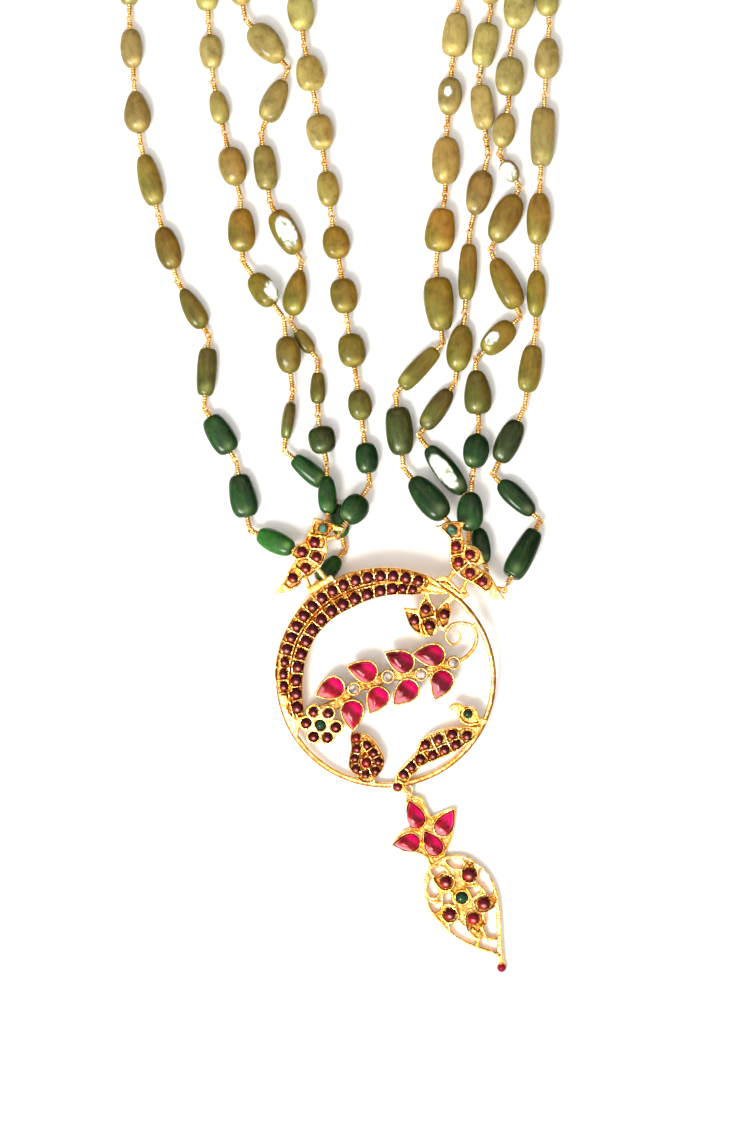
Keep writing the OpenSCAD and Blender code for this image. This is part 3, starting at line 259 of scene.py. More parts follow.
# How bright the rubies of a group are, as one number or one for each stone
BRIGHT = {
    "right_bird_rubies": 0.7, "left_bird_rubies": 0.3, "foot_ruby": 0.5,
    "paisley_rubies": [1.3, 0.3, 0.2, 0.1, 0.1, 0, 0, 0, 0, 1.3],
    "drop_flower_rubies": [0.5, 0.4, 0.4, 0.3, 1.4], "end_ruby": 2.4,
}
# The birds' cut eyes, the cut diamonds and the ball at the drop's tip: x, y, radius
EYES = {"left_bird_eye": (-13.8, 33.3, 1.05), "right_bird_eye": (14.4, 32.9, 1.1)}
DIAMONDS = [(-7, -2.1, 1.1), (0.4, 0.6, 1.1), (7.7, 1.1, 1.1), (14.8, 3.6, 1.1)]
END_STONE = (25.5, -63.95, 1.05)
# Pear stones: x, y, direction of the point, length, width.
SPRAY_PEARS = [(-12.4, -2.2, -157, 6.2, 4.4), (-5.2, 1.9, 164, 6.3, 4.4), (2.9, 4.2, 153, 6.4, 4.4),
               (9.4, 5.4, 178, 6.6, 4.5), (-7.4, -8, -89, 6.3, 4.5), (-2.1, -4.7, -117, 5.9, 4.4),
               (4.1, -3.1, -135, 6.4, 4.4), (12, -1.3, -112, 6.5, 4.5)]
# How dark each pear of the spray is, from 0 to 1, and all those of the drop
PEAR_DEPTHS, DROP_PEAR_DEPTH = [0, 0.15, 0.9, 0.75, 0.3, 0, 0.3, 0.9], 0.1
DROP_PEARS = [(6.2, -30.2, 110, 6, 3.8), (13.2, -32, 58, 6.2, 3.7), (4.5, -36.5, -173, 5.6, 3.7),
              (10.1, -36.5, 121, 5.7, 3.6)]

# Radius of the end ruby's neck and its height above the stone's middle, from the top down
END_NECK = [(0.4275, 2.2), (0.475, 1.9), (0.589, 1.2), (0.76, 0.8), (0.855, 0.78)]

# Gold ribs left standing between the stones, as runs of points
LEFT_BIRD_RIBS = [
    [(-12.9, 31.4), (-15.4, 31.7), (-17.3, 31.9)], [(-12.6, 28.6), (-16.4, 28.8)],
    [(-17.2, 30.4), (-16.4, 28.8), (-17.2, 26.9), (-19.8, 26.4)], [(-14.3, 25), (-17.2, 26.9)],
    [(-17.3, 22.7), (-19.9, 24.9)]]
RIGHT_BIRD_RIBS = [
    [(13.8, 31), (16.9, 31.2)], [(14, 27.3), (17, 27.8)], [(17.4, 29.6), (17, 27.8), (18.1, 25.8),
    (20.6, 25.3)], [(15.7, 23.6), (18.1, 25.8)], [(18.6, 21.4), (21.1, 23.3)]]
LOWER_BIRD_RIBS = [
    [(7.9, -16), (10.8, -15.35), (13.6, -14.2), (15.9, -13.1), (16.4, -13.3)],
    [(9.6, -12.5), (10.9, -15.35), (12.2, -17.5)], [(12.7, -11.6), (13.6, -14.2), (14.8, -16.2)],
    [(15.8, -11.2), (16, -13)], [(16.35, -13.3), (17.5, -14.8)], [(7.9, -16), (9.5, -18.3)],
    [(5.7, -17.6), (7.4, -19.9)], [(3.9, -19.4), (5.7, -21.7)]]
PAISLEY_RIB = [(-5.1, -13.4), (-5.2, -14.8), (-4.3, -16.2), (-5.2, -17.2), (-5.6, -18.5), (-5.2, -19.4),
               (-4.3, -19.9), (-3.5, -19.6), (-3, -18.7), (-3.3, -17.6), (-4.3, -16.2)]
PERCH_GROOVE = [(11.2, 21.6), (13.4, 21.3), (16, 19.1), (17.6, 19)]
# Cells cut round the stones
LOWER_HEAD_CELL = [(16.5, -7.2), (17, -6.55), (18, -6.3), (18.9, -6.7), (19.4, -7.6), (19.9, -8.6),
                   (20.2, -9.55), (18.9, -9.8), (17.6, -9.55), (16.7, -8.9), (16.3, -7.9)]
LEAF_CELLS = [
    [(4.4, 14.8), (5.6, 14.6), (6.9, 14.1), (7.25, 12.8), (7.1, 11.9), (7.5, 10.4), (6.3, 10.9),
     (5.3, 11.9), (4.7, 13.2)],
    [(8.7, 17.7), (9.25, 17.1), (10, 16.3), (10.4, 15.4), (10.5, 14.2), (8.7, 13.7), (7.8, 13.4),
     (7.4, 14.5), (7.5, 15.4), (7.9, 16.6)],
    [(8.05, 13.05), (9.1, 13.3), (10.5, 13.65), (10.8, 12.6), (10.75, 11.5), (10.3, 10.6),
     (10.1, 9.8), (9.5, 9.8), (8.8, 10.9), (8.3, 12)],
    [(13.4, 17), (13.85, 15.8), (14, 14.5), (13.8, 13.2), (13.2, 12.2), (12.5, 11.6), (11.8, 12.8),
     (11.35, 14.4), (11.7, 15.55), (12.5, 16.3)]]
LEAF_GAPS = [[(11.05, 15.6), (11.1, 13.9), (11.25, 12.6), (11.55, 11.6)],
             [(7.7, 12.3), (7.95, 11.2), (8.5, 10.1)]]
FLAMES = [
    [(16.8, -43.4), (17.1, -42), (17.9, -40.75), (18.4, -41.6), (18.95, -40.6), (19.5, -41.8),
     (20, -43.2), (19.8, -44.6), (18.4, -45.1), (17.1, -44.6)],
    [(10.4, -44.1), (11.5, -43.8), (12.8, -43.4), (14.4, -44), (14.8, -45.2), (14.2, -46.5),
     (12.8, -46.9), (11.6, -45.9)],
    [(19.4, -49.3), (20.8, -48.3), (22.7, -47.9), (24.4, -48.5), (23.7, -50.3), (22.4, -51.4),
     (21.1, -51.6), (19.9, -51)],
    [(12.4, -52.4), (12.9, -51.1), (14.2, -50.7), (15.4, -51.5), (15.7, -52.7), (14.9, -53.8),
     (13.3, -53.7)],
    [(17.6, -53), (18.2, -51.6), (19.7, -51.2), (20.9, -51.9), (21.1, -53.3), (21.9, -54.4),
     (21, -54.4), (20.4, -56.2), (19.1, -55), (18.1, -55.8), (17.7, -54.3)]]


def colour(name, description, default):
    """A colour that the user can change."""
    return FloatVectorProperty(name=name, description=description, default=default, min=0, max=1,
                               subtype="COLOR")


def millimetres(name, description, default, low, high):
    """A length that the user can change, with its numbers in millimetres."""
    return FloatProperty(name=name, description=description, default=default * MM, min=low * MM,
                         max=high * MM, unit="LENGTH")


class BeadLook(bpy.types.PropertyGroup):
    """Sizes and colours of the tumbled beads."""
    bore: millimetres("Bore radius", "Radius of the hole along a bead", 0.5, 0.4, 0.7)
    lumpiness: FloatProperty(name="Lumpiness", description="How far a bead strays from a true oval",
                             default=0.05, min=0, max=0.1, subtype="FACTOR")
    pale: colour("Pale", "Colour of the beads near the neck", (0.38, 0.3, 0.09))
    amber: colour("Amber", "Colour of the brown beads below them", (0.25, 0.11, 0.006))
    olive: colour("Olive", "Colour of the beads halfway down", (0.14, 0.12, 0.009))
    deep: colour("Deep", "Colour of the beads at the pendant", (0.007, 0.05, 0.005))


class WireLook(bpy.types.PropertyGroup):
    """Sizes of the gold wire between the beads."""
    thickness: millimetres("Wire radius", "Radius of the wrapped wire", 0.22, 0.1, 0.25)
    coil: millimetres("Coil radius", "Radius of a coil, to the middle of its wire", 0.46, 0.3, 0.5)


class GoldLook(bpy.types.PropertyGroup):
    """Colours of the gold and depth of its carving."""
    bright: colour("Bright", "Colour of the polished gold", (1.0, 0.66, 0.25))
    warm: colour("Warm", "Colour of its redder patches", (0.88, 0.43, 0.075))
    # Deep is the colour of the gold's painted shade, in the recesses and down the sides
    deep: colour("Deep", "Colour of the gold in the recesses", (0.25, 0.09, 0.012))
    carving: millimetres("Carving depth", "Depth of the cells between the ribs", 0.7, 0.2, 0.9)


class StoneLook(bpy.types.PropertyGroup):
    """Colours of the set stones."""
    ruby: colour("Ruby", "Colour of the round rubies", (0.034, 0.0004, 0.003))
    pear: colour("Pear ruby", "Colour of the pear-shaped rubies", (0.46, 0.0015, 0.016))
    green: colour("Emerald", "Colour of the green stones", (0.003, 0.016, 0.007))
    facets: IntProperty(name="Facets", description="Sides of a cut stone's table", default=8, min=6, max=12)


class StageLook(bpy.types.PropertyGroup):
    """Camera and floor."""
    distance: millimetres("Camera distance", "Height of the camera", 1100, 300, 3000)
    floor: colour("Floor", "Colour of the floor", (0.92, 0.92, 0.91))


# Points and vectors, as whole arrays

def unit(v):
    """Vectors divided by their lengths."""
    return v / np.linalg.norm(v, axis=-1, keepdims=True)


def around(n):
    """Angles of n points round a circle."""
    return np.arange(n) * TURN / n


def circle(n, radius=1.0):
    """n points of a circle."""
    a = around(n)
    return radius * np.stack([np.cos(a), np.sin(a)], -1)


def ramp(v, low, high):
    """0 below low, 1 above high, and a smooth cubic step in between."""
    t = np.clip((v - low) / (high - low), 0, 1)
    return t * t * (3 - 2 * t)


def flat(points, z=0.0):
    """Points of the plane, with a height."""
    points = np.asarray(points, float)
    return np.concatenate([points, np.broadcast_to(z, points.shape[:-1])[..., None]], -1)


def turned(points, degrees):
    """Points of the plane turned about the origin."""
    a = np.radians(degrees)
    x, y = points[..., 0], points[..., 1]
    return np.stack([x * np.cos(a) - y * np.sin(a), x * np.sin(a) + y * np.cos(a)], -1)


def raised(p):
    """Points of the pendant's plane, tilted up about the hoop's foot onto the beads."""
    y = p[..., 1] + HOOP_R
    return np.stack([p[..., 0], y * math.cos(TILT) - p[..., 2] * math.sin(TILT) - HOOP_R,
                     FOOT_LIFT + y * math.sin(TILT) + p[..., 2] * math.cos(TILT)], -1)


def level(p):
    """Points that lie flat stay as they are."""
    return p


def curve(points, corner=50, parts=8, closed=True):
    """A smooth run through the points: cubic pieces whose end slopes are half the step between the
    neighbours, and straight ones where the run turns by more than the corner angle."""
    p = np.asarray(points, float)
    before, after = np.roll(p, 1, 0), np.roll(p, -1, 0)
    if not closed:
        before[0], after[-1] = 2 * p[0] - p[1], 2 * p[-1] - p[-2]
    sharp = (unit(p - before) * unit(after - p)).sum(-1) < math.cos(math.radians(corner))
    leave = np.where(sharp[:, None], after - p, (after - before) / 2)
    arrive = np.where(sharp[:, None], p - before, (after - before) / 2)
    end, arrive = np.roll(p, -1, 0), np.roll(arrive, -1, 0)
    t = (np.arange(parts) / parts)[None, :, None]
    run = ((2 * t ** 3 - 3 * t ** 2 + 1) * p[:, None] + (t ** 3 - 2 * t ** 2 + t) * leave[:, None]
           + (3 * t ** 2 - 2 * t ** 3) * end[:, None] + (t ** 3 - t ** 2) * arrive[:, None])
    run = run.reshape(-1, p.shape[-1])
    return run if closed else np.concatenate([run[:(len(p) - 1) * parts], p[-1:]])


def distance(points, starts, ends):
    """Distance of each point from the nearest of the segments."""
    way = ends - starts
    size = (way ** 2).sum(-1) + 1e-12
    near = []
    for p in np.array_split(points, max(1, len(points) // 1500)):
        step = p[:, None] - starts
        t = np.clip((step * way).sum(-1) / size, 0, 1)
        near.append(np.sqrt(((step - t[..., None] * way) ** 2).sum(-1)).min(1))
    return np.concatenate(near)


def within(points, loop):
    """Whether each point is inside a closed outline: a line to the right crosses it an odd number
    of times."""
    (x, y), (x0, y0), (x1, y1) = points.T[..., None], loop.T, np.roll(loop, -1, 0).T
    rise = np.where(y1 == y0, 1e-12, y1 - y0)
    hit = ((y0 > y) != (y1 > y)) & (x < (x1 - x0) * (y - y0) / rise + x0)
    return hit.sum(1) % 2 == 1


def knots(name):
    """A string's knots from the clasp to the pendant, each level with the thicker of its two beads,
    and the middles of its rings on the clasp and on the pendant."""
    rows = np.array(STRINGS[name], float)
    thick = np.maximum(rows[:, 5], np.append(rows[0, 5], rows[:-1, 5]))
    points = np.column_stack([rows[:, :2], rows[:, 2] + thick / 2])
    x, y, z, dip, leave = ENDS[name]
    way = np.append(rows[-1, :2] - (x, y), 0)
    down = unit(way) * math.cos(math.radians(dip)) - (0, 0, math.sin(math.radians(dip)))
    foot = raised(np.array([x, y, z])) + END_RING * down
    side = -1 if name.startswith("left") else 1
    leave = math.radians(leave)
    top = np.array([CLASP[0] + side * (CLASP_LENGTH / 2 + CLASP_RING) + CLASP_RING * math.cos(leave),
                    CLASP[1] + CLASP_RING * math.sin(leave), CLASP_RADIUS])
    return rows, points, top, foot


def pear_at(row, margin=0.0):
    """Outline of a pear in its place: a circle pinched to a point at angle 0, let out by a margin and
    then turned."""
    x, y, way, long, wide = row
    a = around(48)
    p = np.stack([long / 2 * np.cos(a), 0.65 * wide * np.sin(a) * np.abs(np.sin(a / 2))], -1)
    out = unit(np.roll(p, -1, 0) - np.roll(p, 1, 0)) @ np.array([[0, -1], [1, 0]])
    return turned(p + margin * out, way) + (x, y)


# Surfaces: grids of points gathered into one mesh

class Shape:
    """Points, faces and named values that become one object."""

    def __init__(self, place=level):
        self.points, self.faces, self.values, self.count, self.place = [], [], {}, 0, place

    def add(self, points, faces, **values):
        """Adds points in millimetres, with lists of faces that number them from 0."""
        points = np.asarray(points, float).reshape(-1, 3)
        self.points.append(points)
        for some in faces:
            self.faces += (np.asarray(some) + self.count).tolist()
        for key, value in values.items():
            self.values.setdefault(key, []).append((self.count, np.asarray(value, float)))
        self.count += len(points)

    def finish(self, name, finish, slot, node, sharp=40):
        points = (self.place(np.concatenate(self.points)) - BOX_MIDDLE) * MM
        mesh = bpy.data.meshes.new(name)
        mesh.from_pydata(points, [], self.faces)
        for key, parts in self.values.items():
            size = parts[0][1].shape[-1]
            kind, field = {1: ("FLOAT", "value"), 3: ("FLOAT_VECTOR", "vector"),
                           4: ("FLOAT_COLOR", "color")}[size]
            values = np.zeros((self.count, size), np.float32)
            for start, value in parts:
                values[start:start + len(value)] = value
            mesh.attributes.new(key, kind, "POINT").data.foreach_set(field, values.ravel())
        mesh.shade_smooth()
        mesh.set_sharp_from_angle(angle=math.radians(sharp))
        mesh.validate()
        mesh.materials.append(material(finish))
        piece = bpy.data.objects.new(name, mesh)
        bpy.context.scene.collection.objects.link(piece)
        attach(piece, "root")
        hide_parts(node)


def quads(rows, columns, copies=1, closed=False, size=None):
    """Faces of a grid whose columns run round and whose rows run along; closed joins its last row
    to its first. They face outwards if the columns turn anticlockwise, seen from the rows' far end."""
    i, j = np.meshgrid(np.arange(rows if closed else rows - 1), np.arange(columns), indexing="ij")
    down, right = (i + 1) % rows, (j + 1) % columns
    one = np.stack([i * columns + j, i * columns + right, down * columns + right, down * columns + j],
                   -1).reshape(-1, 4)
    first = np.arange(copies)[:, None, None] * (size or rows * columns)
    return (one + first).reshape(-1, 4)


def capped(shape, rows, **values):
    """Rows of points that run round, with the first and the last closed by a face."""
    count, wide = rows.shape[:2]
    ring = np.arange(wide)[None]
    shape.add(rows, [quads(count, wide), ring[:, ::-1], ring + (count - 1) * wide], **values)


def swept(shape, paths, profile, normal=UP, closed=False, scale=1.0, recess=0.0):
    """Carries a profile along each path: at a point of the path the profile's two numbers are laid
    off across the path, sideways and along the normal. Open paths are closed by a face at each end.
    The painted shade, which darkens the gold, is one number, or one for each point of the profile."""
    paths = paths if paths.ndim == 3 else paths[None]
    count, along = paths.shape[:2]
    if closed:
        way = np.roll(paths, -1, 1) - np.roll(paths, 1, 1)
    else:
        way = np.gradient(paths, axis=1)
    way = unit(way)
    side = unit(np.cross(np.broadcast_to(normal, paths.shape), way))
    up = np.cross(way, side)
    scale = np.broadcast_to(scale, (count, along))[..., None, None]
    points = paths[:, :, None] + scale * (profile[:, 0, None] * side[:, :, None]
                                          + profile[:, 1, None] * up[:, :, None])
    wide = len(profile)
    faces = [quads(along, wide, count, closed)]
    if not closed:
        ring = np.arange(wide) + np.arange(count)[:, None] * along * wide
        faces += [ring[:, ::-1], ring + (along - 1) * wide]
    shape.add(points, faces, recess=np.tile(np.broadcast_to(recess, wide), count * along)[:, None])


def ring_path(middle, across, along, wide, tall, n=20):
    """Points of an oval ring about each middle, in the plane of two directions."""
    a = around(n)[:, None]
    return middle[:, None] + wide * np.cos(a) * across[:, None] + tall * np.sin(a) * along[:, None]


def wire_ring(shape, middle, across, along, radius, profile, n=40):
    """A closed ring of wire in the plane of two directions."""
    middle, across, along = (np.asarray(v, float)[None] for v in (middle, across, along))
    swept(shape, ring_path(middle, across, along, radius, radius, n), profile, np.cross(across, along),
          closed=True)


def domed(shape, outlines, middles, steps, top, base=0.0, **values):
    """Rings of each outline, drawn in towards its middle as they rise, with a point above them and
    a flat face below. Each step is a height and the size of its ring."""
    outlines, middles = np.asarray(outlines, float), np.asarray(middles, float)
    height, size = np.array(steps, float).T
    count, wide, rows = len(outlines), outlines.shape[1], len(size)
    rings = middles[:, None, None] + size[:, None, None] * (outlines - middles[:, None])[:, None]
    rings = flat(rings, base + height[:, None])
    peaks = flat(middles[:, None], base + top)
    points = np.concatenate([rings.reshape(count, -1, 3), peaks], 1)
    each = rows * wide + 1
    j, first = np.arange(wide), np.arange(count)[:, None] * each
    last = (rows - 1) * wide
    fan = np.stack(np.broadcast_arrays(first + last + j, first + last + (j + 1) % wide,
                                       first + rows * wide), -1).reshape(-1, 3)
    shape.add(points, [quads(rows, wide, count, size=each), fan, first + j[::-1]], **values)


# Points of a relief: spacing inside, rows along its outlines, and rings about the edge of each stone
GRID_STEP = 0.22
EDGE_ROWS = (0.07, 0.16, 0.27, 0.4, 0.55, 0.7)
SEAT_ROWS = (-0.3, -0.02, 0.1, 0.22)


def relief(shape, loops, keep, height, stones=()):
    """A carved plate: its plan is filled with points, joined up into triangles that follow the
    outlines, and each point is lifted to a height worked out from its place and its distance from
    the edge. A wall and a flat back close it."""
    starts, ends = np.concatenate(loops), np.concatenate([np.roll(loop, -1, 0) for loop in loops])
    edges, extra = [], []
    for loop in loops:
        ring = np.arange(len(loop)) + len(edges)
        edges += np.column_stack([ring, np.roll(ring, -1)]).tolist()
        normal = unit(np.roll(loop, -1, 0) - np.roll(loop, 1, 0)) @ np.array([[0, 1], [-1, 0]])
        for offset in EDGE_ROWS:
            for side in (-1, 1):
                p = loop + side * offset * normal
                extra.append(p[distance(p, starts, ends) > 0.96 * offset])
    grid = np.stack(np.meshgrid(*[np.arange(a, b, GRID_STEP) for a, b in zip(starts.min(0), starts.max(0))]),
                    -1).reshape(-1, 2)
    clear = distance(grid, starts, ends) > EDGE_ROWS[-1] + GRID_STEP / 2
    for x, y, radius in stones:
        extra += [(x, y) + circle(28, radius + more) for more in SEAT_ROWS]
        clear &= np.hypot(*(grid - (x, y)).T) > radius + 0.3
    extra = np.concatenate(extra + [grid[clear]])
    points = np.concatenate([starts, extra[keep(extra)]])
    verts, _, faces, *_ = delaunay_2d_cdt(points.tolist(), edges, [], 0, 1e-4)
    plan, faces = np.array(verts), np.array(faces)
    faces = faces[keep(plan[faces].mean(1))]
    used, faces = np.unique(faces, return_inverse=True)
    faces, plan = faces.reshape(-1, 3), plan[used]
    n = len(plan)
    sides = np.concatenate([faces[:, [0, 1]], faces[:, [1, 2]], faces[:, [2, 0]]])
    border = sides[~np.isin(sides @ (n, 1), sides @ (1, n))]
    # The height also gives each point its painted shade; the back gets a fixed painted shade, and the walls
    # run between the two
    z, recess = height(plan, distance(plan, plan[border[:, 0]], plan[border[:, 1]]))
    wall = np.stack([border[:, 1], border[:, 0], border[:, 0] + n, border[:, 1] + n], -1)
    shape.add(np.concatenate([flat(plan, z), flat(plan)]), [faces, faces[:, ::-1] + n, wall],
              recess=np.concatenate([recess, np.full(n, 0.35)])[:, None])


def carving(stones, ribs=(), grooves=(), cells=(), top=SETTING_H, seat=BACK_H, depth=None, rim=0.3,
            rib=0.16, reach=1.0, soft=0.2, shade=1.0, field=0.0, groove=0.8):
    """Height of a carved plate. It is top less depth times a number that is 1 in the cells and falls
    to 0 by smooth steps at the rim and at the ribs. The cells are outlines, or where none are given,
    all that is within reach of a stone. Outside them the number is field, away from raised borders,
    and in the grooves it is groove. Each stone has a flat seat, and the outer edge is rounded off by
    a quarter circle. Shade is the painted shade of the cells' floors, and under each stone the
    painted shade is full."""
    depth = bpy.context.scene.necklace_gold.carving / MM if depth is None else depth

    def nearest(p, runs):
        runs = [np.asarray(r, float) for r in runs]
        return distance(p, np.concatenate([r[:-1] for r in runs]), np.concatenate([r[1:] for r in runs]))

    def height(p, edge):
        away = np.full(len(p), 9.0)
        for x, y, radius in stones:
            away = np.minimum(away, np.hypot(*(p - (x, y)).T) - radius)
        low = 1 - ramp(away, reach, reach + 0.22)
        if len(cells):
            inner = np.max([distance(p, c, np.roll(c, -1, 0)) * np.where(within(p, c), 1, -1)
                            for c in cells], 0)
            open_ground = (ramp(-inner, 0.3, 0.55) * ramp(away, 0.35, 0.6)
                           * ramp(edge, rim + 0.3, rim + 0.55))
            low = np.maximum(ramp(inner, -0.1, 0.12), field * open_ground)
        low = np.minimum(low, ramp(edge, rim, rim + 0.2))
        if len(ribs):
            low = np.minimum(low, ramp(nearest(p, ribs), rib, rib + 0.2))
        if len(grooves):
            low = np.maximum(low, groove * (1 - ramp(nearest(p, grooves), 0.03, 0.2)))
        inside = 1 - ramp(away, -0.05, 0.08)
        z = (top - depth * low) * (1 - inside) + seat * inside
        round_off = 1 - np.sqrt(1 - (1 - np.minimum(edge / soft, 1)) ** 2)
        # Painted shade: the cells' floors darken by shade, and the seats under the stones fully
        return z - soft * round_off * (z > seat + 0.2), np.maximum(low * shade, inside)
    return height


# Materials: shader maths written as expressions

class Sock:
    """A shader socket that can take part in an expression: each operation adds its own Math node."""

    def __init__(self, nodes, socket):
        self.nodes, self.socket = nodes, socket

    def _math(self, operation, *values):
        return self.nodes.node("ShaderNodeMath", {"operation": operation}, dict(enumerate(values)))

    def __add__(self, other):
        return self._math("ADD", self, other)

    def __sub__(self, other):
        return self._math("SUBTRACT", self, other)

    def __rsub__(self, other):
        return self._math("SUBTRACT", other, self)

    def __mul__(self, other):
        return self._math("MULTIPLY", self, other)

    def clamped(self, low, high):
        """0 below low and 1 above high, by a smooth step."""
        return self.nodes.node("ShaderNodeMapRange", {"interpolation_type": "SMOOTHSTEP"},
                               {"Value": self, "From Min": low, "From Max": high})

    def spread(self, low, high, bottom, top):
        """Runs evenly from bottom, where the value is low, to top, where it is high."""
        return self.nodes.node("ShaderNodeMapRange", None, {
            "Value": self, "From Min": low, "From Max": high, "To Min": bottom, "To Max": top})

    __radd__, __rmul__ = __add__, __mul__


class Nodes:
    """A node tree, built up node by node."""

    def __init__(self, tree):
        self.tree = tree

    def feed(self, socket, value):
        """Links a Sock, or sets a plain value; a colour of three numbers gets a full alpha."""
        if isinstance(value, Sock):
            self.tree.links.new(value.socket, socket)
        elif hasattr(value, "__len__"):
            value = tuple(value)
            socket.default_value = value + (1.0,) if len(socket.default_value) > len(value) else value
        else:
            socket.default_value = value

    def node(self, kind, settings=None, values=None, out=0):
        """Adds any node: its settings first, then the values or links of its sockets."""
        node = self.tree.nodes.new(kind)
        for key, value in (settings or {}).items():
            setattr(node, key, value)
        for key, value in (values or {}).items():
            self.feed(node.inputs[key], value)
        return Sock(self, node.outputs[out])

    def place(self):
        """The surface's own coordinates, in metres."""
        return self.node("ShaderNodeTexCoord", out="Object")

    def attribute(self, name, out="Fac"):
        """A value that the mesh carries at its points."""
        return self.node("ShaderNodeAttribute", {"attribute_name": name}, out=out)

    def noise(self, scale, detail=2.0, rough=0.5, where=None, warp=0.0):
        """Clouds from 0 to 1, in the surface's own coordinates unless others are given."""
        return self.node("ShaderNodeTexNoise", None, {
            "Vector": where or self.place(), "Scale": scale, "Detail": detail, "Roughness": rough,
            "Distortion": warp})

    def mix(self, factor, a, b, blend="MIX"):
        """Blends two colours."""
        return self.node("ShaderNodeMix", {"data_type": "RGBA", "blend_type": blend},
                         {0: factor, 6: a, 7: b}, out=2)

    def vector(self, operation, *values, out=0):
        """One step of vector maths."""
        return self.node("ShaderNodeVectorMath", {"operation": operation}, dict(enumerate(values)), out)


class Shade(Nodes):
    """A material with one Principled shader, whose plain values are named with _ for each space."""

    def __init__(self, name, **values):
        self.material = bpy.data.materials.new(name)
        self.material.use_nodes = True
        super().__init__(self.material.node_tree)
        self.shader = self.tree.nodes["Principled BSDF"]
        self.put(**values)

    def put(self, **values):
        """Sets or links the shader's sockets."""
        for key, value in values.items():
            self.feed(self.shader.inputs[key.replace("_", " ")], value)

    def bump(self, height, strength, distance):
        """Makes the surface uneven: height is a value, and distance its scale in metres."""
        self.put(Normal=self.node("ShaderNodeBump", None, {"Height": height, "Strength": strength,
                                                           "Distance": distance}))

    def base(self, colour, rough=None):
        """Gives the shader its colour and roughness, and hands over the material."""
        self.put(Base_Color=colour)
        if rough is not None:
            self.put(Roughness=rough)
        return self.material


def gold_material(name):
    """Soft old gold: pale on the rims and redder in drifting patches, with a worked skin. Painted shade
    turns it brown in the recesses, down the sides of bars and wire, under the stones and on the
    hoop's outer side."""
    look = bpy.context.scene.necklace_gold
    m = Shade(name, Metallic=1.0)
    recess = m.attribute("recess")
    cloud, drift = m.noise(900, 3), m.noise(280, 2, warp=0.5)
    worn = m.mix((drift * 0.7 + cloud * 0.3).clamped(0.4, 0.6), look.bright, look.warm)
    # Painted shade: the mesh's recess value, with random cloudy tone, blends the gold towards its deep colour
    tone = (recess * 0.9 + (cloud - 0.45) * 1.1).clamped(0.05, 1.0)
    m.bump(m.noise(450, 2) * 0.75 + m.noise(1800, 3) * 0.25, 0.8, 0.0005)
    return m.base(m.mix(tone, worn, look.deep), 0.17 + 0.12 * cloud + 0.22 * recess)


def bead_material(name):
    """Cloudy stone in its bead's tint, which carries painted shade and a painted highlight, with fibres
    and a faint pale streak along the drilled hole, under a waxy polish. Clear parts show pale and
    greenish swirls inside a rim of painted shade."""
    pale_glass, green_glass, painted_edge_shade = (0.92, 0.94, 0.9), (0.26, 0.32, 0.15), (0.05, 0.06, 0.015)
    dark_vein, light_vein = (0.5, 0.46, 0.3), (0.025, 0.03, 0.004)
    m = Shade(name, Coat_Weight=0.3, Coat_Roughness=0.14, IOR=1.5, Specular_IOR_Level=0.12,
              Subsurface_Weight=0.25, Subsurface_Radius=(0.6, 1.0, 0.4), Subsurface_Scale=0.0012)
    tint, spot = m.attribute("tint", "Color"), m.attribute("bead", "Vector")
    along, across = (m.node("ShaderNodeSeparateXYZ", None, {0: spot}, out=i) for i in (0, 1))
    stretched = m.vector("MULTIPLY", spot, (1.0, 1.5, 1.1))
    fibre = m.noise(1.7, 5, 0.6, where=m.vector("MULTIPLY_ADD", m.place(), (90, 90, 90), stretched), warp=0.5)
    cloud, swirl = m.noise(300, 4, 0.6, warp=0.6), m.noise(300, 3, warp=2.5)
    clear = (m.attribute("clear") + (cloud - 0.5) * 0.9).clamped(0.25, 0.8)
    streak = (1 - (across * across * 26).clamped(0, 1)) * (1 - (along * along).clamped(0.5, 1)) * 0.16
    veins = cloud.clamped(0.38, 0.66) * 0.6 + fibre.clamped(0.45, 0.7) * 0.4
    dark = m.mix(veins, tint, dark_vein, "MULTIPLY")
    light = m.mix(streak * 2 + (1 - fibre).clamped(0.5, 0.8), dark, light_vein, "ADD")
    m.bump(m.noise(500, 2) * 0.7 + fibre * 0.3, 0.15, 0.0003)
    glass = m.mix((swirl + along * 0.12).clamped(0.5, 0.66), pale_glass, green_glass)
    # Painted shade: a dark line round the edge of each clear part
    stone = m.mix(clear * (1 - clear) * 2.6, light, painted_edge_shade)
    return m.base(m.mix(clear, stone, glass), 0.24 + 0.14 * fibre - 0.15 * clear)


def ruby_material(name):
    """Dark wine cabochons with painted light: a painted redder side towards the light, and a painted
    rosy highlight low on each dome. Some are brighter than the rest."""
    painted_lit_red, foil = (0.26, 0.016, 0.014), (0.95, 0.42, 0.36)
    look = bpy.context.scene.necklace_stones
    m = Shade(name, Coat_Weight=0.2, Coat_Roughness=0.07, IOR=1.5, Specular_IOR_Level=0.2,
              Specular_Tint=(1, 0.3, 0.36))
    cloud = m.noise(500, 3)
    # Painted light: the side towards the light is redder
    lit = (m.attribute("glow") + (cloud - 0.5) * 0.8).clamped(0.05, 1.15)
    body = m.mix((0.15 + 0.85 * lit) * m.attribute("bright"), m.mix(lit, look.ruby, painted_lit_red), look.pear)
    # Painted highlight: a rosy spot low on each dome
    return m.base(m.mix(m.attribute("foil") * (0.5 + 0.7 * cloud), body, foil), 0.16 + 0.1 * cloud)


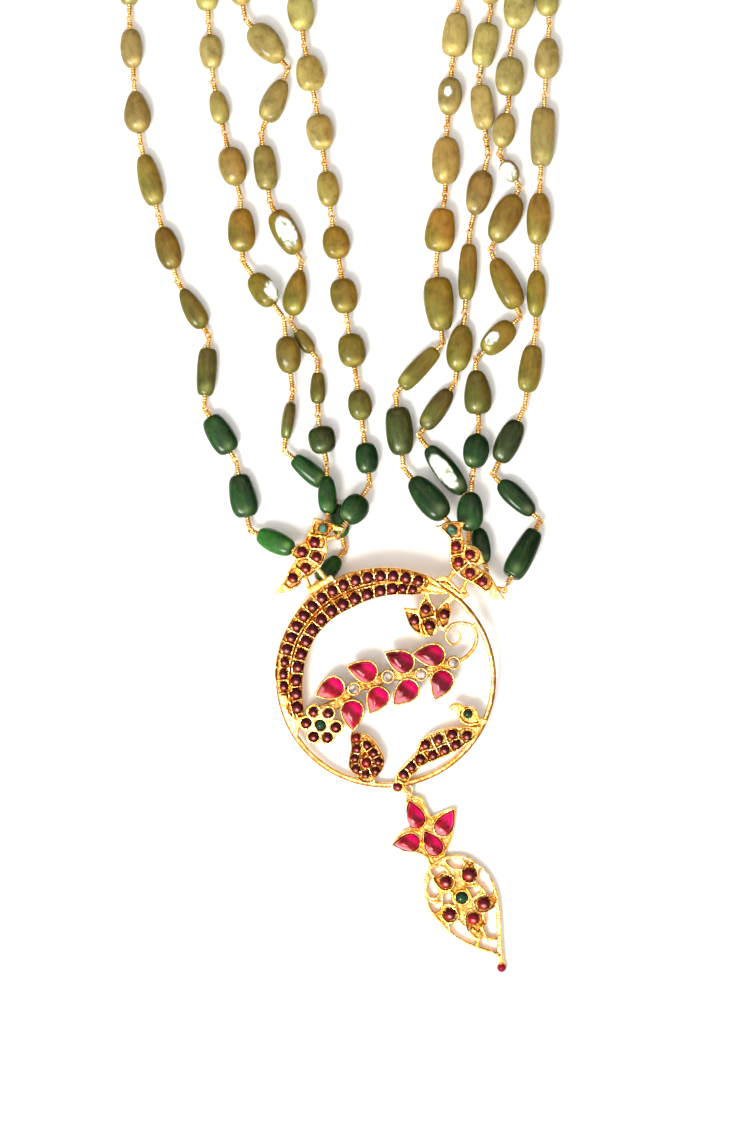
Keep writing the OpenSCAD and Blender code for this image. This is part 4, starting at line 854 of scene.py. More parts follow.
def pear_material(name):
    """Crimson cabochons with painted light: a painted milky highlight on the side towards the light,
    painted shade in the middle and a painted magenta glow on the far side."""
    painted_core_shade, painted_magenta_glow, painted_milky_highlight = (0.09, 0.0005, 0.004), (0.9, 0.004, 0.16), (0.58, 0.24, 0.27)
    look = bpy.context.scene.necklace_stones
    m = Shade(name, Coat_Weight=0.24, Coat_Roughness=0.04, IOR=1.55, Specular_IOR_Level=0.15,
              Specular_Tint=(1, 0.25, 0.4))
    glow, depth = m.attribute("glow"), m.attribute("depth")
    cloud = m.noise(360, 3, warp=0.8)
    # Painted shade in the middle, painted magenta glow on the far side, painted milky highlight on the near
    # side
    painted_core_mask = 1 - (glow * glow * 3).clamped(0, 1)
    body = m.mix(cloud.clamped(0.35, 0.65) * 0.4 + painted_core_mask * 0.55 + depth * 0.5, look.pear, painted_core_shade)
    with_painted_glow = m.mix(glow.clamped(0.05, 0.85) * (0.9 - 0.6 * depth), body, painted_magenta_glow)
    painted_milky_mask = (0 - glow + (cloud - 0.5) * 0.8).clamped(0.36, 0.66) * 0.62
    return m.base(m.mix(painted_milky_mask, with_painted_glow, painted_milky_highlight), 0.07 + 0.08 * cloud)


def green_material(name):
    """Dark green cabochons."""
    leaf_green = (0.012, 0.07, 0.022)
    look = bpy.context.scene.necklace_stones
    m = Shade(name, Coat_Weight=0.3, Coat_Roughness=0.06, Specular_IOR_Level=0.1)
    cloud = m.noise(600, 3)
    return m.base(m.mix(cloud.clamped(0.35, 0.7) * 0.6, look.green, leaf_green), 0.1 + 0.1 * cloud)


def cut_green_material(name):
    """Lighter green of the birds' cut eyes."""
    dark_green, light_green = (0.005, 0.05, 0.025), (0.07, 0.19, 0.12)
    m = Shade(name, Coat_Weight=0.4, Coat_Roughness=0.03, IOR=1.55)
    cloud = m.noise(900, 3)
    return m.base(m.mix(cloud.clamped(0.35, 0.7), dark_green, light_green), 0.1 + 0.1 * cloud)


def diamond_material(name):
    """Greyish old-cut diamond."""
    smoke, ice = (0.09, 0.06, 0.05), (0.6, 0.48, 0.42)
    m = Shade(name, Coat_Weight=0.5, Coat_Roughness=0.02, IOR=1.7)
    cloud = m.noise(900, 3)
    return m.base(m.mix(cloud.clamped(0.35, 0.65), smoke, ice), 0.04 + 0.08 * cloud)


def floor_material(name):
    """Matt paper, very slightly uneven."""
    grey = (0.87, 0.87, 0.86)
    look = bpy.context.scene.necklace_stage
    m = Shade(name, Roughness=0.8)
    m.bump(m.noise(2500, 3), 0.05, 0.0001)
    return m.base(m.mix(m.noise(60, 4).clamped(0.3, 0.7) * 0.15, look.floor, grey))


MATERIALS = {"temple_gold": gold_material, "tumbled_stone": bead_material, "wine_cabochon": ruby_material,
             "crimson_pear": pear_material, "emerald_cabochon": green_material,
             "cut_emerald": cut_green_material, "rose_diamond": diamond_material, "paper": floor_material}


def material(name):
    """A material is made once, and shared by every piece that has it."""
    return bpy.data.materials.get(name) or MATERIALS[name](name)


# Bead strings

# Beads with a clear part: where its middle lies along and across the bead, from -1 to 1, and its size
WINDOWS = {("left_2", 11): (0.4, 0.6, 0.7), ("left_3", 9): (0, 0.05, 0.8),
           ("right_1", 7): (-0.2, -0.15, 0.34), ("right_2", 13): (0, -0.2, 0.8),
           ("right_3", 9): (0, -0.2, 1), ("right_3", 12): (0.25, -0.3, 0.5)}
# Bluntness of the beads that are squarer or more pointed than the rest
BLUNT = {("left_1", 11): 0.6, ("left_1", 13): 0.3, ("left_1", 14): 0.42, ("left_1", 15): 0.42,
         ("left_2", 13): 0.4, ("left_2", 14): 0.35, ("left_3", 8): 0.42, ("left_3", 12): 0.4,
         ("right_1", 6): 0.45, ("right_1", 9): 0.42, ("right_1", 10): 0.36, ("right_1", 11): 0.36,
         ("right_1", 12): 0.45, ("right_2", 6): 0.42, ("right_2", 7): 0.42, ("right_2", 10): 0.45,
         ("right_4", 10): 0.3, ("right_4", 11): 0.65, ("right_4", 13): 0.5, ("right_4", 16): 0.32}
# Beads that widen towards their lower end, or where the number is negative, their upper end
EGGS = {("left_1", 12): 0.2, ("left_3", 7): 0.2, ("left_3", 10): 0.25, ("left_1", 9): 0.2,
        ("left_2", 9): -0.1, ("right_3", 13): 0.22, ("right_2", 8): 0.15, ("right_3", 11): 0.15}
# Heights above the hoop's middle between which the beads' tones change, from the pendant to the neck
TONE_LEVELS = [30, 50, 57, 68, 97, 122, 150]
# Brightness of the lowest beads from left to right: places, then factors
LOW_BEADS = [-36, -31, -24, -15, 5, 25], [1.1, 0.6, 1.8, 1, 0.9, 0.55]


def bead_tint(look, middle, off, size, along, across, seed):
    """Colours of the beads' points. A bead goes from a darker earthy tone at its upper right to a greener
    one at its lower left, by a smooth step: partly the stone's own two tones, partly painted shade on
    the side away from the light. Near its lower end it has a painted highlight, a pale bell curve.
    Down the strings the tones go from pale through amber and olive to deep green, brightest at
    the left."""
    rng = np.random.default_rng(seed)
    pale, amber, olive, deep = (np.array(c) for c in (look.pale, look.amber, look.olive, look.deep))
    green = [deep * 1.7, deep, (deep + olive) / 2, olive, olive + amber * 0.15, pale * 0.85, pale]
    earth_and_shade = [deep * 0.4, deep * 0.5, deep * 0.25 + amber * 0.3, (olive + amber) * 0.45, amber,
             (amber + pale) / 2, pale * 0.95]
    height = middle[:, 1] + np.interp(middle[:, 0], [-40, -20], [-8, 0])
    low, high = (np.stack([np.interp(height, TONE_LEVELS, np.array(c)[:, k]) for k in range(3)], -1)
                 for c in (green, earth_and_shade))
    change = rng.uniform(0.85, 1.15, (len(middle), 1)) * rng.uniform(0.95, 1.05, (len(middle), 3))
    bright = np.interp(middle[:, 0], *LOW_BEADS)
    change *= 1 + (bright - 1)[:, None] * (1 - ramp(height[:, None], 45, 75))
    change *= np.interp(middle[:, 0], [-44, -36], [0.84, 1])[:, None]
    # Partly the stone's own two tones, partly painted shade: the side away from the light takes the darker
    # earthy tone
    toward = (off[..., 0] * 0.8 + off[..., 1] * 0.6) / size + rng.uniform(-0.35, 0.35, (len(middle), 1, 1))
    shift = ramp(toward, -0.8, 0.5) * rng.uniform(0.6, 1, (len(middle), 1, 1))
    low, high = (low * change)[:, None, None], (high * change)[:, None, None]
    tint = low + (high - low) * shift[..., None]
    wide, side = rng.uniform(0.25, 0.5, (len(middle), 1, 1)), rng.uniform(-0.2, 0.4, (len(middle), 1, 1))
    # Painted highlight: a pale spot near the lower end of each bead
    painted_highlight = np.exp(-((along - 0.68) / 0.17) ** 2 - ((across + side) / wide) ** 2)
    return tint + painted_highlight[..., None] * (0.9 * tint + (0.09, 0.09, 0.05))


def beads(name, look, seed):
    """Each bead is a grid of rows along its hole and columns round it. Its radius falls off towards
    the ends as a power of a cosine, its section is a squared-off oval, and low waves in both
    directions make it lumpy. The last rows turn in and line the hole."""
    rng = np.random.default_rng(seed)
    rows, points, _, foot = knots(name)
    ends = np.concatenate([points[1:], foot[None]])
    whole = rows[:, 3] > 0
    number = np.arange(len(rows))[whole]
    start, end, (length, width, thick) = points[whole], ends[whole], rows[whole, 3:].T[:, :, None, None]
    middle, way = (start + end) / 2, unit(end - start)
    side = unit(np.cross(UP, way))
    up = np.cross(way, side)
    count, wide = len(middle), 26
    bore = look.bore / MM
    phi = np.linspace(-BEAD_CAP, BEAD_CAP, 23)[None, :, None]
    theta = around(wide)[None, None]
    square = (np.abs([np.cos(theta), np.sin(theta)]) ** BEAD_SQUARE).sum(0) ** (-1 / BEAD_SQUARE)
    wave = [rng.uniform(-1, 1, (count, 1, 1)) for _ in range(8)]
    lump = (wave[0] * np.cos(2 * theta + 3 * wave[1]) + wave[2] * np.cos(3 * theta + 3 * wave[3] + phi)
            + wave[4] * np.sin(2 * phi + wave[5]) + wave[6] * np.cos(5 * theta + 6 * wave[7] - 2 * phi) * 0.5)
    blunt = np.array([BLUNT.get((name, i), 0) for i in number])[:, None, None]
    blunt = np.where(blunt > 0, blunt, rng.uniform(0.52, 0.8, (count, 1, 1)))
    egg = np.array([EGGS.get((name, i), 0) for i in number])[:, None, None]
    egg = 1 + np.where(egg != 0, egg, 0.08 * rng.uniform(-1, 1, (count, 1, 1))) * np.sin(phi)
    radius = np.cos(phi) ** blunt * egg * (1 + look.lumpiness * lump * np.cos(phi))
    y = radius * square * np.cos(theta)
    z = radius * square * np.sin(theta)
    y = y / np.abs(y).max((1, 2), keepdims=True) * width / 2 * BEAD_FILL
    z = z / np.abs(z).max((1, 2), keepdims=True) * thick / 2 * BEAD_FILL
    away = np.maximum(1, (bore + 0.12) / np.hypot(y, z))
    x = length / 2 * np.sin(phi) / math.sin(BEAD_CAP) * np.ones_like(y)
    lining = np.array([0.94, 0.9, -0.9, -0.94])[:, None] * np.ones((count, 1, wide))
    hole = bore * np.ones_like(lining)
    x = np.concatenate([x, lining * length / 2], 1)
    y = np.concatenate([y * away, hole * np.cos(theta)], 1)
    z = np.concatenate([z * away, hole * np.sin(theta)], 1)
    off = sum(part[..., None] * axis[:, None, None] for part, axis in ((x, way), (y, side), (z, up)))
    along, across = x / (length / 2), y / (width / 2)
    tint = bead_tint(look, middle, off, width / 2, along, across, seed + 50)
    clear = np.zeros_like(x)
    for i, n in enumerate(number):
        if (name, n) in WINDOWS:
            a, b, size = WINDOWS[name, n]
            clear[i] = 1 - ramp(np.hypot(along[i] - a, across[i] - b) / size, 0.5, 1.15)
    shape = Shape()
    shape.add(middle[:, None, None] + off, [quads(off.shape[1], wide, count, closed=True)],
              tint=np.append(tint, np.ones_like(tint[..., :1]), -1).reshape(-1, 4),
              bead=np.stack([along, across, z], -1).reshape(-1, 3), clear=clear.reshape(-1, 1))
    shape.finish("stones_" + name, "tumbled_stone", "bead", "beads_" + name, 60)


def wire(name, look):
    """Between two beads each wire leaves the bead as a coil, a helix about the bead's axis, and
    ends in an open oval ring, linked crosswise with the next bead's. Straight wire runs inside."""
    rows, points, top, foot = knots(name)
    r, coil_r = look.thickness / MM, look.coil / MM
    line = np.concatenate([top[None], points, foot[None]])
    beads_long = np.append(0, rows[:, 3])
    start, end = line[:-1], line[1:]
    span = np.linalg.norm(end - start, axis=1)
    way = (end - start) / span[:, None]
    side = unit(np.cross(UP, way))
    up = np.cross(way, side)
    profile = circle(6, r)
    shape = Shape()
    number = np.arange(len(span))
    bead_end = np.where(beads_long <= 0, 0.5 * span, (span - beads_long) / 2 + 0.12)
    for at, sign, edge in ((start, 1, number == 0), (end, -1, number == number[-1])):
        twist = unit(np.where((number % 2 == 1)[:, None], side, up + 0.4 * side))
        ring = ring_path(at + sign * KNOT_PULL * way, twist, way, KNOT_WIDE, KNOT_LONG)
        face = unit(np.cross(twist, way))[:, None]
        # Painted shade, a little, over each ring
        swept(shape, ring[~edge], profile, face[~edge], closed=True, recess=0.25)
        a = np.linspace(0, 1, 45)[None, :, None]
        begin = np.where(edge, END_RING + 0.1, COIL_START)
        turns = np.maximum((bead_end - begin) / (COIL_RISE * r), 1.2)
        go = begin[:, None, None] + a * (bead_end - begin)[:, None, None]
        angle = a * turns[:, None, None] * TURN
        helix = at[:, None] + sign * go * way[:, None] + coil_r * (np.cos(angle) * side[:, None]
                                                                   + np.sin(angle) * up[:, None])
        # Painted shade on the coil's inner side, between its turns
        swept(shape, helix, profile, way[:, None], recess=0.25 + 0.45 * ramp(profile[:, 0] / r, -0.8, 0.6))
        stem = at[:, None] + sign * np.linspace(begin - 0.1, bead_end + 0.5, 3).T[..., None] * way[:, None]
        # Painted shade on the stem inside the coil
        swept(shape, stem, profile * 1.6, up[:, None], recess=0.6)
    for at, toward in ((top, points[0]), (foot, points[-1])):
        wire_ring(shape, at, unit((toward - at) * (1, 1, 0)), UP, END_RING, circle(8, END_WIRE), 28)
    shape.finish("wraps_" + name, "temple_gold", "gold", "wire_" + name, 60)


# The clasp's outline from its end to its middle, as shares of half its length and of its radius
CLASP_TURNING = [(-1, 0.2), (-1, 0.72), (-0.97, 0.86), (-0.9, 0.98), (-0.86, 0.86), (-0.8, 0.84),
                 (-0.76, 0.78), (-0.3, 0.92), (-0.26, 0.99), (-0.2, 0.9), (-0.14, 0.99), (-0.08, 0.9),
                 (-0.02, 0.99), (0, 0.95)]


def clasp():
    """A turned barrel with beaded ends and a milled waist, between two rings."""
    shape = Shape()
    x, r = np.array(CLASP_TURNING).T[:, :, None]
    x, r = np.append(x, -x[-2::-1], 0), np.append(r, r[-2::-1], 0)
    a = around(40)
    r = CLASP_RADIUS * r * (1 - 0.02 * (np.abs(x) < 0.74) * (np.cos(20 * a) > 0))
    capped(shape, np.stack([np.broadcast_to(CLASP[0] + x * CLASP_LENGTH / 2, r.shape),
                            CLASP[1] + r * np.cos(a), CLASP_RADIUS + r * np.sin(a)], -1))
    for side in (-1, 1):
        wire_ring(shape, (CLASP[0] + side * (CLASP_LENGTH / 2 + CLASP_RING), CLASP[1], CLASP_RADIUS),
                  (1, 0, 0), (0, 1, 0), CLASP_RING, circle(12, CLASP_WIRE), 64)
    shape.finish("clasp_barrel", "temple_gold", "gold", "clasp", 35)


# Pendant

def polar(angles, radii):
    """Points of the plane at angles, in degrees, and at radii."""
    a = np.radians(angles)
    return np.stack([radii * np.cos(a), radii * np.sin(a)], -1)


def lookup(table, angles):
    """Radii at the angles, read evenly between the rows of a table."""
    table = np.array(table, float)
    return np.interp(angles, table[:, 0], table[:, 1])


def crescent_stones():
    """Round rubies of the two rows: x, y, radius."""
    outer = polar(OUTER_ANGLES, lookup(OUTER_ROW, OUTER_ANGLES))
    inner = polar(INNER_ANGLES, lookup(INNER_ROW, INNER_ANGLES))
    outer = np.column_stack([outer, np.where(OUTER_ANGLES > 165, 1, 1.17)])
    inner = np.column_stack([inner, np.where(INNER_ANGLES < 83, 0.9, 1.17)])
    return outer, inner


def between(stones, half):
    """Ribs across a row of stones, one between each stone and the next."""
    p = np.asarray(stones, float)[:, :2]
    middle, way = (p[1:] + p[:-1]) / 2, unit(p[1:] - p[:-1])
    across = np.stack([-way[:, 1], way[:, 0]], -1) * half
    return [np.stack([m - a, m + a]) for m, a in zip(middle, across)]


def plate(shape, outline, stones, *cuts, **more):
    """A carved ornament whose plan is one outline. Cuts are its ribs, grooves and cells."""
    relief(shape, [outline], lambda p: within(p, outline), carving(stones, *cuts, **more), stones)


def grains(shape, stones, count, radius, height, turn=0.0, base=1.1):
    """Small gold grains pushed over the edge of each stone, as low domes."""
    stones = np.asarray(stones, float)
    ring = turned(circle(count), math.degrees(turn))
    spots = stones[:, None, :2] + (stones[:, 2, None, None] + 0.12) * ring
    spots = spots.reshape(-1, 2)
    domed(shape, spots[:, None] + circle(7, radius), spots,
          [(0, 1), (height * 0.55, 0.95), (height * 0.85, 0.6)], height, base)


def crescent():
    """The crescent is cut into square cells by radial ribs and one rib between its two rows."""
    angles = np.linspace(50, 214, 330)
    outline = np.concatenate([polar(angles, lookup(CRESCENT_OUTER, angles)),
                              polar(angles, lookup(CRESCENT_INNER, angles))[::-1]])
    outer, inner = crescent_stones()
    split = np.linspace(68, 204, 60)
    middle = (lookup(OUTER_ROW, split) + lookup(INNER_ROW, split)) / 2
    edge = lookup(CRESCENT_OUTER, OUTER_ANGLES - 3.5)
    apart = 0.34 * ramp(split, 68, 100)
    ribs = [polar(split, middle + apart), polar(split, middle - apart),
            polar(np.array([68, 60, 52]), np.array([21.9, 22.5, 23.4]))]
    grooves = [polar(split, middle), polar(np.array([69, 61, 54]), np.array([23.3, 23.5, 23.6])),
               polar(np.array([69, 62, 56]), np.array([21.2, 22, 22.9]))]
    for a, r in zip(np.append(OUTER_ANGLES - 3.5, OUTER_ANGLES[-1] + 3.7), np.append(edge, 24)):
        ribs.append(polar(np.array([a, a]), np.array([np.interp(a, split, middle + apart), r])))
    gaps = np.append((INNER_ANGLES[1:] + INNER_ANGLES[:-1]) / 2, INNER_ANGLES[-1] + 4.2)
    for a in gaps:
        ribs.append(polar(np.array([a, a]), np.array([lookup(CRESCENT_INNER, a),
                                                      np.interp(a, split, middle - apart)])))
    shape = Shape(raised)
    stones = np.concatenate([outer, inner])
    plate(shape, outline, stones, ribs, grooves, rim=0.16, rib=0.12, reach=0.85, groove=0.5, shade=0.85)
    grains(shape, stones, 4, 0.17, 0.75, math.pi / 4)
    shape.finish("crescent_cells", "temple_gold", "gold", "pendant_frame")


def rounded(wide, tall, soft):
    """Profile of a bar: a rectangle with rounded corners, from side to side and from the back up."""
    corners = [(wide / 2 - soft, soft, -90), (wide / 2 - soft, tall - soft, 0),
               (-wide / 2 + soft, tall - soft, 90), (-wide / 2 + soft, soft, 180)]
    return np.array([(x + soft * math.cos(a), y + soft * math.sin(a)) for x, y, start in corners
                     for a in np.radians(start + np.linspace(0, 90, 5))])


def shaded(profile):
    """Painted shade of a bar's points: none on its crown, and more down its sides."""
    high = profile[:, 1].max()
    return 0.7 * ramp(high - profile[:, 1], 0.15 * high, high)


def hoop():
    """The hoop is a bar of rounded section carried round a circle. Bars of the same kind make the
    legs, links and step, and a tapering one makes the scroll. Rings make the eyelets."""
    shape = Shape(raised)
    bar = rounded(HOOP_W, HOOP_H, 0.42)
    # Painted shade: the hoop's outer side is darker than its crown and inner side
    outer_side_shade = np.maximum(shaded(bar), 0.9 * ramp(-bar[:, 0], -0.25, 0.2))
    swept(shape, flat(circle(220, HOOP_R)), bar, closed=True, recess=outer_side_shade)
    for runs, bar in ((LEGS, rounded(1.05, WIRE_H, 0.4)), ([STEP], rounded(1.7, WIRE_H + 0.3, 0.4))):
        for run in runs:
            swept(shape, flat(curve(run, parts=6, closed=False)), bar, recess=shaded(bar))
    run, bar = curve(SCROLL, 80, 10, closed=False), rounded(0.9, WIRE_H, 0.4)
    taper = np.interp(np.linspace(0, 1, len(run)), [0, 0.6, 1], [1, 0.85, 0.4])
    # Painted shade down the scroll's sides, and some over all of it
    swept(shape, flat(run, 0.05), bar, scale=taper, recess=np.maximum(shaded(bar), 0.35))
    for name, (x, y, z, dip, _) in ENDS.items():
        way = unit(np.append(np.array(STRINGS[name][-1][:2]) - (x, y), 0))
        down = way * math.cos(math.radians(dip)) - UP * math.sin(math.radians(dip))
        wire_ring(shape, (x, y, z), np.cross(UP, way), down, EYE_RING, circle(8, EYE_WIRE), 24)
    wire_ring(shape, (*FOOT_EYE, HOOP_H / 2), (1, 0, 0), (0, 1, 0), BAIL_RING, circle(12, BAIL_WIRE))
    shape.finish("hoop_and_scroll", "temple_gold", "gold", "pendant_frame")


def birds():
    """Three birds and the right bird's perch, carved plates with a rim, ribs and seats."""
    shape = Shape(raised)
    for side, outline, ribs in (("left", LEFT_BIRD, LEFT_BIRD_RIBS), ("right", RIGHT_BIRD, RIGHT_BIRD_RIBS)):
        stones = STONES[side + "_bird_rubies"] + [EYES[side + "_bird_eye"]]
        plate(shape, curve(outline, 65), stones, ribs, rim=0.34, rib=0.2, reach=0.95, soft=0.26,
              shade=0.75)
        grains(shape, stones, 6, 0.16, 0.75, 0.3)
    plate(shape, curve(RIGHT_PERCH, 65), [], (), [PERCH_GROOVE], top=WIRE_H)
    body, eye = STONES["lower_bird_rubies"], STONES["lower_bird_eye"]
    plate(shape, curve(LOWER_BODY, 65), body, LOWER_BIRD_RIBS, rim=0.26, rib=0.15, reach=0.7,
          shade=0.75)
    plate(shape, curve(LOWER_HEAD, 65), eye, (), (), [curve(LOWER_HEAD_CELL, 60)], rim=0.2, shade=0.35)
    grains(shape, body + eye, 4, 0.15, 0.7, 0.5)
    shape.finish("birds", "temple_gold", "gold", "pendant_frame")


def setting(shape, outline, out):
    """A closed cup: a wall with a rounded lip carried round an outline, and a floor inside it."""
    wall = rounded(out, SETTING_H, out * 0.45)
    # Painted shade: the wall darkens down from its lip, and the floor inside is dark
    swept(shape, flat(outline), wall, closed=True, recess=0.3 + 0.6 * ramp(SETTING_H - wall[:, 1], 0.1, 0.8))
    capped(shape, np.stack([flat(outline, 0.05), flat(outline, BACK_H)]),
           recess=np.full((2 * len(outline), 1), 0.9))


def round_setting(shape, stone):
    """A cup round a stone."""
    x, y, r = stone
    setting(shape, (x, y) + circle(32, r + 0.22), 0.42)


def flower(shape):
    """Six petals round a green stone. The outline is the farthest that a ray from the middle gets in
    any petal's circle."""
    centre = np.array(STONES["flower_centre"][0])
    stones = np.array(STONES["flower_rubies"])
    ray = circle(240)
    off = stones[:, :2] - centre[:2]
    along = ray @ off.T
    across = (stones[:, 2] + 0.72) ** 2 - (off ** 2).sum(1) + along ** 2
    far = np.where((across > 0) & (along > 0), along + np.sqrt(np.maximum(across, 0)), centre[2] + 0.5)
    outline = centre[:2] + ray * far.max(1)[:, None]
    plate(shape, outline, np.vstack([stones, centre]), rim=0.4, reach=0.06, soft=0.16, shade=0.6)


def ornaments():
    """Leaf cluster, paisley, six-petal flower and the setting at the hoop's foot."""
    shape = Shape(raised)
    plate(shape, curve(LEAVES, 60), STONES["leaf_rubies"], (), LEAF_GAPS,
          [curve(cell, 60, 4) for cell in LEAF_CELLS], rim=0.12)
    grains(shape, STONES["leaf_rubies"], 6, 0.16, 0.7, 0.2)
    stones = STONES["paisley_rubies"]
    plate(shape, curve(PAISLEY, 60), stones, between(stones[:9], 0.9) + [PAISLEY_RIB], rim=0.2, rib=0.1,
          shade=0.8)
    grains(shape, stones, 5, 0.14, 0.7, 0.2)
    flower(shape)
    round_setting(shape, STONES["foot_ruby"][0])
    grains(shape, STONES["flower_rubies"] + STONES["flower_centre"], 6, 0.16, 0.75, 0.3)
    shape.finish("leaf_paisley_flower", "temple_gold", "gold", "pendant_frame")


def spray():
    """A stem with a cup for each pear and each diamond, and grains of gold between them."""
    shape = Shape(raised)
    run = curve(SPRAY_STEM, 90, 8, closed=False)
    # Painted shade over the whole stem between the cups
    swept(shape, flat(run), rounded(2.4, WIRE_H, 0.5), recess=0.75)
    for row in SPRAY_PEARS:
        setting(shape, pear_at(row, 0.24), 0.4)
    for stone in DIAMONDS:
        round_setting(shape, stone)
    rng = np.random.default_rng(5)
    spots = run[rng.integers(0, len(run), 90)] + rng.uniform(-0.95, 0.95, (90, 2))
    sizes = rng.uniform(0.2, 0.42, (90, 1, 1))
    domed(shape, spots[:, None] + circle(8)[None] * sizes, spots, [(0, 1), (0.2, 0.9), (0.33, 0.55)], 0.4,
          WIRE_H - 0.1)
    shape.finish("spray_settings", "temple_gold", "gold", "pendant_frame")


def petals(shape):
    """The drop's four-petal plate. Its height falls by smooth steps from the rims to the pear stones'
    seats and into the valleys between them, and its edge is rounded off by a quarter circle."""
    outline = curve(PETALS, 60)
    pockets = [pear_at(row, 0.05) for row in DROP_PEARS]

    def height(p, edge):
        away = np.min([distance(p, pocket, np.roll(pocket, -1, 0)) * np.where(within(p, pocket), -1, 1)
                       for pocket in pockets], 0)
        valley = ramp(away, 0.25, 0.5) * ramp(edge, 0.25, 0.45)
        z = BACK_H + (PETAL_H - BACK_H) * ramp(away, -0.06, 0.1) - 0.4 * valley
        round_off = 1 - np.sqrt(1 - (1 - np.minimum(edge / 0.16, 1)) ** 2)
        # Painted shade in the pockets under the pears and in the valleys between them
        return z - 0.16 * round_off, np.maximum(ramp(-away, -0.1, 0), 0.5 * valley)

    relief(shape, [outline] + pockets, lambda p: within(p, outline), height)


def teardrop(shape):
    """The drop's pierced plate: its plan is the outline less the piercings, but for the ground round
    each stone, and flames are carved round the stones."""
    stones = sum(DROP_STONES.values(), [])
    outline = curve(TEARDROP, 60)
    holes = [curve(p, 55, 5) for p in PIERCINGS]
    rounds = [(x, y) + circle(40, r + 0.4) for x, y, r in stones]
    seats = [(x, y, r + 0.02) for x, y, r in stones]

    def metal(p):
        solid = np.any([within(p, ring) for ring in rounds], 0)
        open_parts = np.any([within(p, hole) for hole in holes], 0)
        return within(p, outline) & (solid | ~open_parts)

    height = carving(seats, cells=[curve(cell, 55, 4) for cell in FLAMES], top=DROP_H, seat=DROP_SEAT,
                     depth=0.6, rim=0.2, soft=0.3, shade=0.85, field=0.6)
    relief(shape, [outline] + holes + rounds, metal, height, seats)
    grains(shape, stones, 5, 0.17, 0.7, 0.4, DROP_SEAT + 0.1)


def drop():
    """Four-petal setting, pierced teardrop with its flower, bail and the neck of the end ruby."""
    shape = Shape()
    petals(shape)
    teardrop(shape)
    way = unit(np.array([*BAIL_WAY, 0]))
    middle = raised(np.array([*FOOT_EYE, HOOP_H / 2])) + BAIL_RING * way
    wire_ring(shape, middle, way, UP, BAIL_RING, circle(12, BAIL_WIRE))
    x, y, r = END_STONE
    a = around(28)
    radius, rise = np.array(END_NECK).T[:, :, None]
    capped(shape, np.stack([x + radius * np.cos(a), y + rise + 0 * a,
                            r + STONE_PLAY + radius * np.sin(a)], -1))
    shape.finish("drop_gold", "temple_gold", "gold", "drop_frame")


# Stones

# A dome's rings: height as a share of the stone's, and size
CABOCHON = [(0, 0.97), (0.1, 1), (0.34, 1), (0.55, 0.94), (0.72, 0.83), (0.84, 0.68), (0.92, 0.5),
            (0.98, 0.26)]


def cabochons(name, stones):
    """Round domes, each slightly out of round. Their painted glow runs from -1 at the upper right to 1
    at the lower left, where the redder lit side is painted, and their painted rosy highlight is a bell
    curve low on each dome."""
    stones = np.asarray(stones, float)
    rng = np.random.default_rng(len(name) + len(stones))
    a = around(28)
    wobble = 1 + rng.uniform(-0.03, 0.0, (len(stones), 1, 1)) * (1 + np.cos(2 * a + 1)[None, :, None])
    outlines = stones[:, None, :2] + stones[:, 2, None, None] * circle(28)[None] * wobble
    steps = [(h * STONE_H, size) for h, size in CABOCHON]
    # Painted light: a lit side towards the lower left, and a highlight spot low on the dome
    x, y, glow = (np.append(np.outer([size for _, size in steps], run), 0)
                  for run in (np.cos(a), np.sin(a), np.cos(a - math.radians(235))))
    foil = np.exp(-(x / 0.27) ** 2 - ((y + 0.38) / 0.19) ** 2)
    bright = np.repeat(np.broadcast_to(BRIGHT.get(name, 0), len(stones)), len(x))
    on_drop = name in DROP_STONES
    shape = Shape(level if on_drop else raised)
    domed(shape, outlines, stones[:, :2], steps, STONE_H, (DROP_SEAT if on_drop else BACK_H) + STONE_PLAY,
          bright=bright[:, None], glow=np.tile(glow, len(stones))[:, None],
          foil=np.tile(foil, len(stones))[:, None])
    finish, slot = (("emerald_cabochon", "green_stone") if name in GREEN_STONES
                    else ("wine_cabochon", "round_ruby"))
    shape.finish(name + "_cut", finish, slot, name)


def end_ruby():
    """A ball, cut off flat at its two poles."""
    x, y, r = END_STONE
    phi = np.radians(np.linspace(-80, 80, 14))
    shape = Shape()
    steps = np.column_stack([r + r * np.sin(phi), np.cos(phi)])
    domed(shape, (x, y) + r * circle(28)[None], np.array([[x, y]]), steps, 2 * r, STONE_PLAY,
          bright=np.full((len(phi) * 28 + 1, 1), BRIGHT["end_ruby"]))
    shape.finish("end_ruby_cut", "wine_cabochon", "round_ruby", "end_ruby")


def pear_stone(name, row, lift, depth):
    """A pear-shaped dome with a soft ridge: rings of the pear's outline drawn in towards a point
    nearer its round end. Its painted glow runs from -1 at the lower left, where the milky highlight is
    painted, to 1 at the upper right, where the magenta glow is painted."""
    outline = pear_at(row)
    x, y, way, long, _ = row
    middle = turned(np.array([-0.1 * long, 0]), way) + (x, y)
    phi = np.radians(np.linspace(8, 84, 11))
    steps = [(0, 0.96)] + list(zip(PEAR_H * (0.34 + 0.66 * np.sin(phi)), np.cos(phi) ** 0.72))
    angle = np.arctan2(*(outline - middle).T[::-1])
    # Painted light: the value that places the pear's painted highlight, shade and glow
    glow = np.append(np.outer([size for _, size in steps], np.cos(angle - math.radians(50))), 0)
    shape = Shape(lift)
    domed(shape, outline[None], middle[None], steps, PEAR_H, BACK_H + STONE_PLAY, glow=glow[:, None],
          depth=np.full((len(glow), 1), depth))
    shape.finish(name + "_cut", "crimson_pear", "pear_ruby", name)


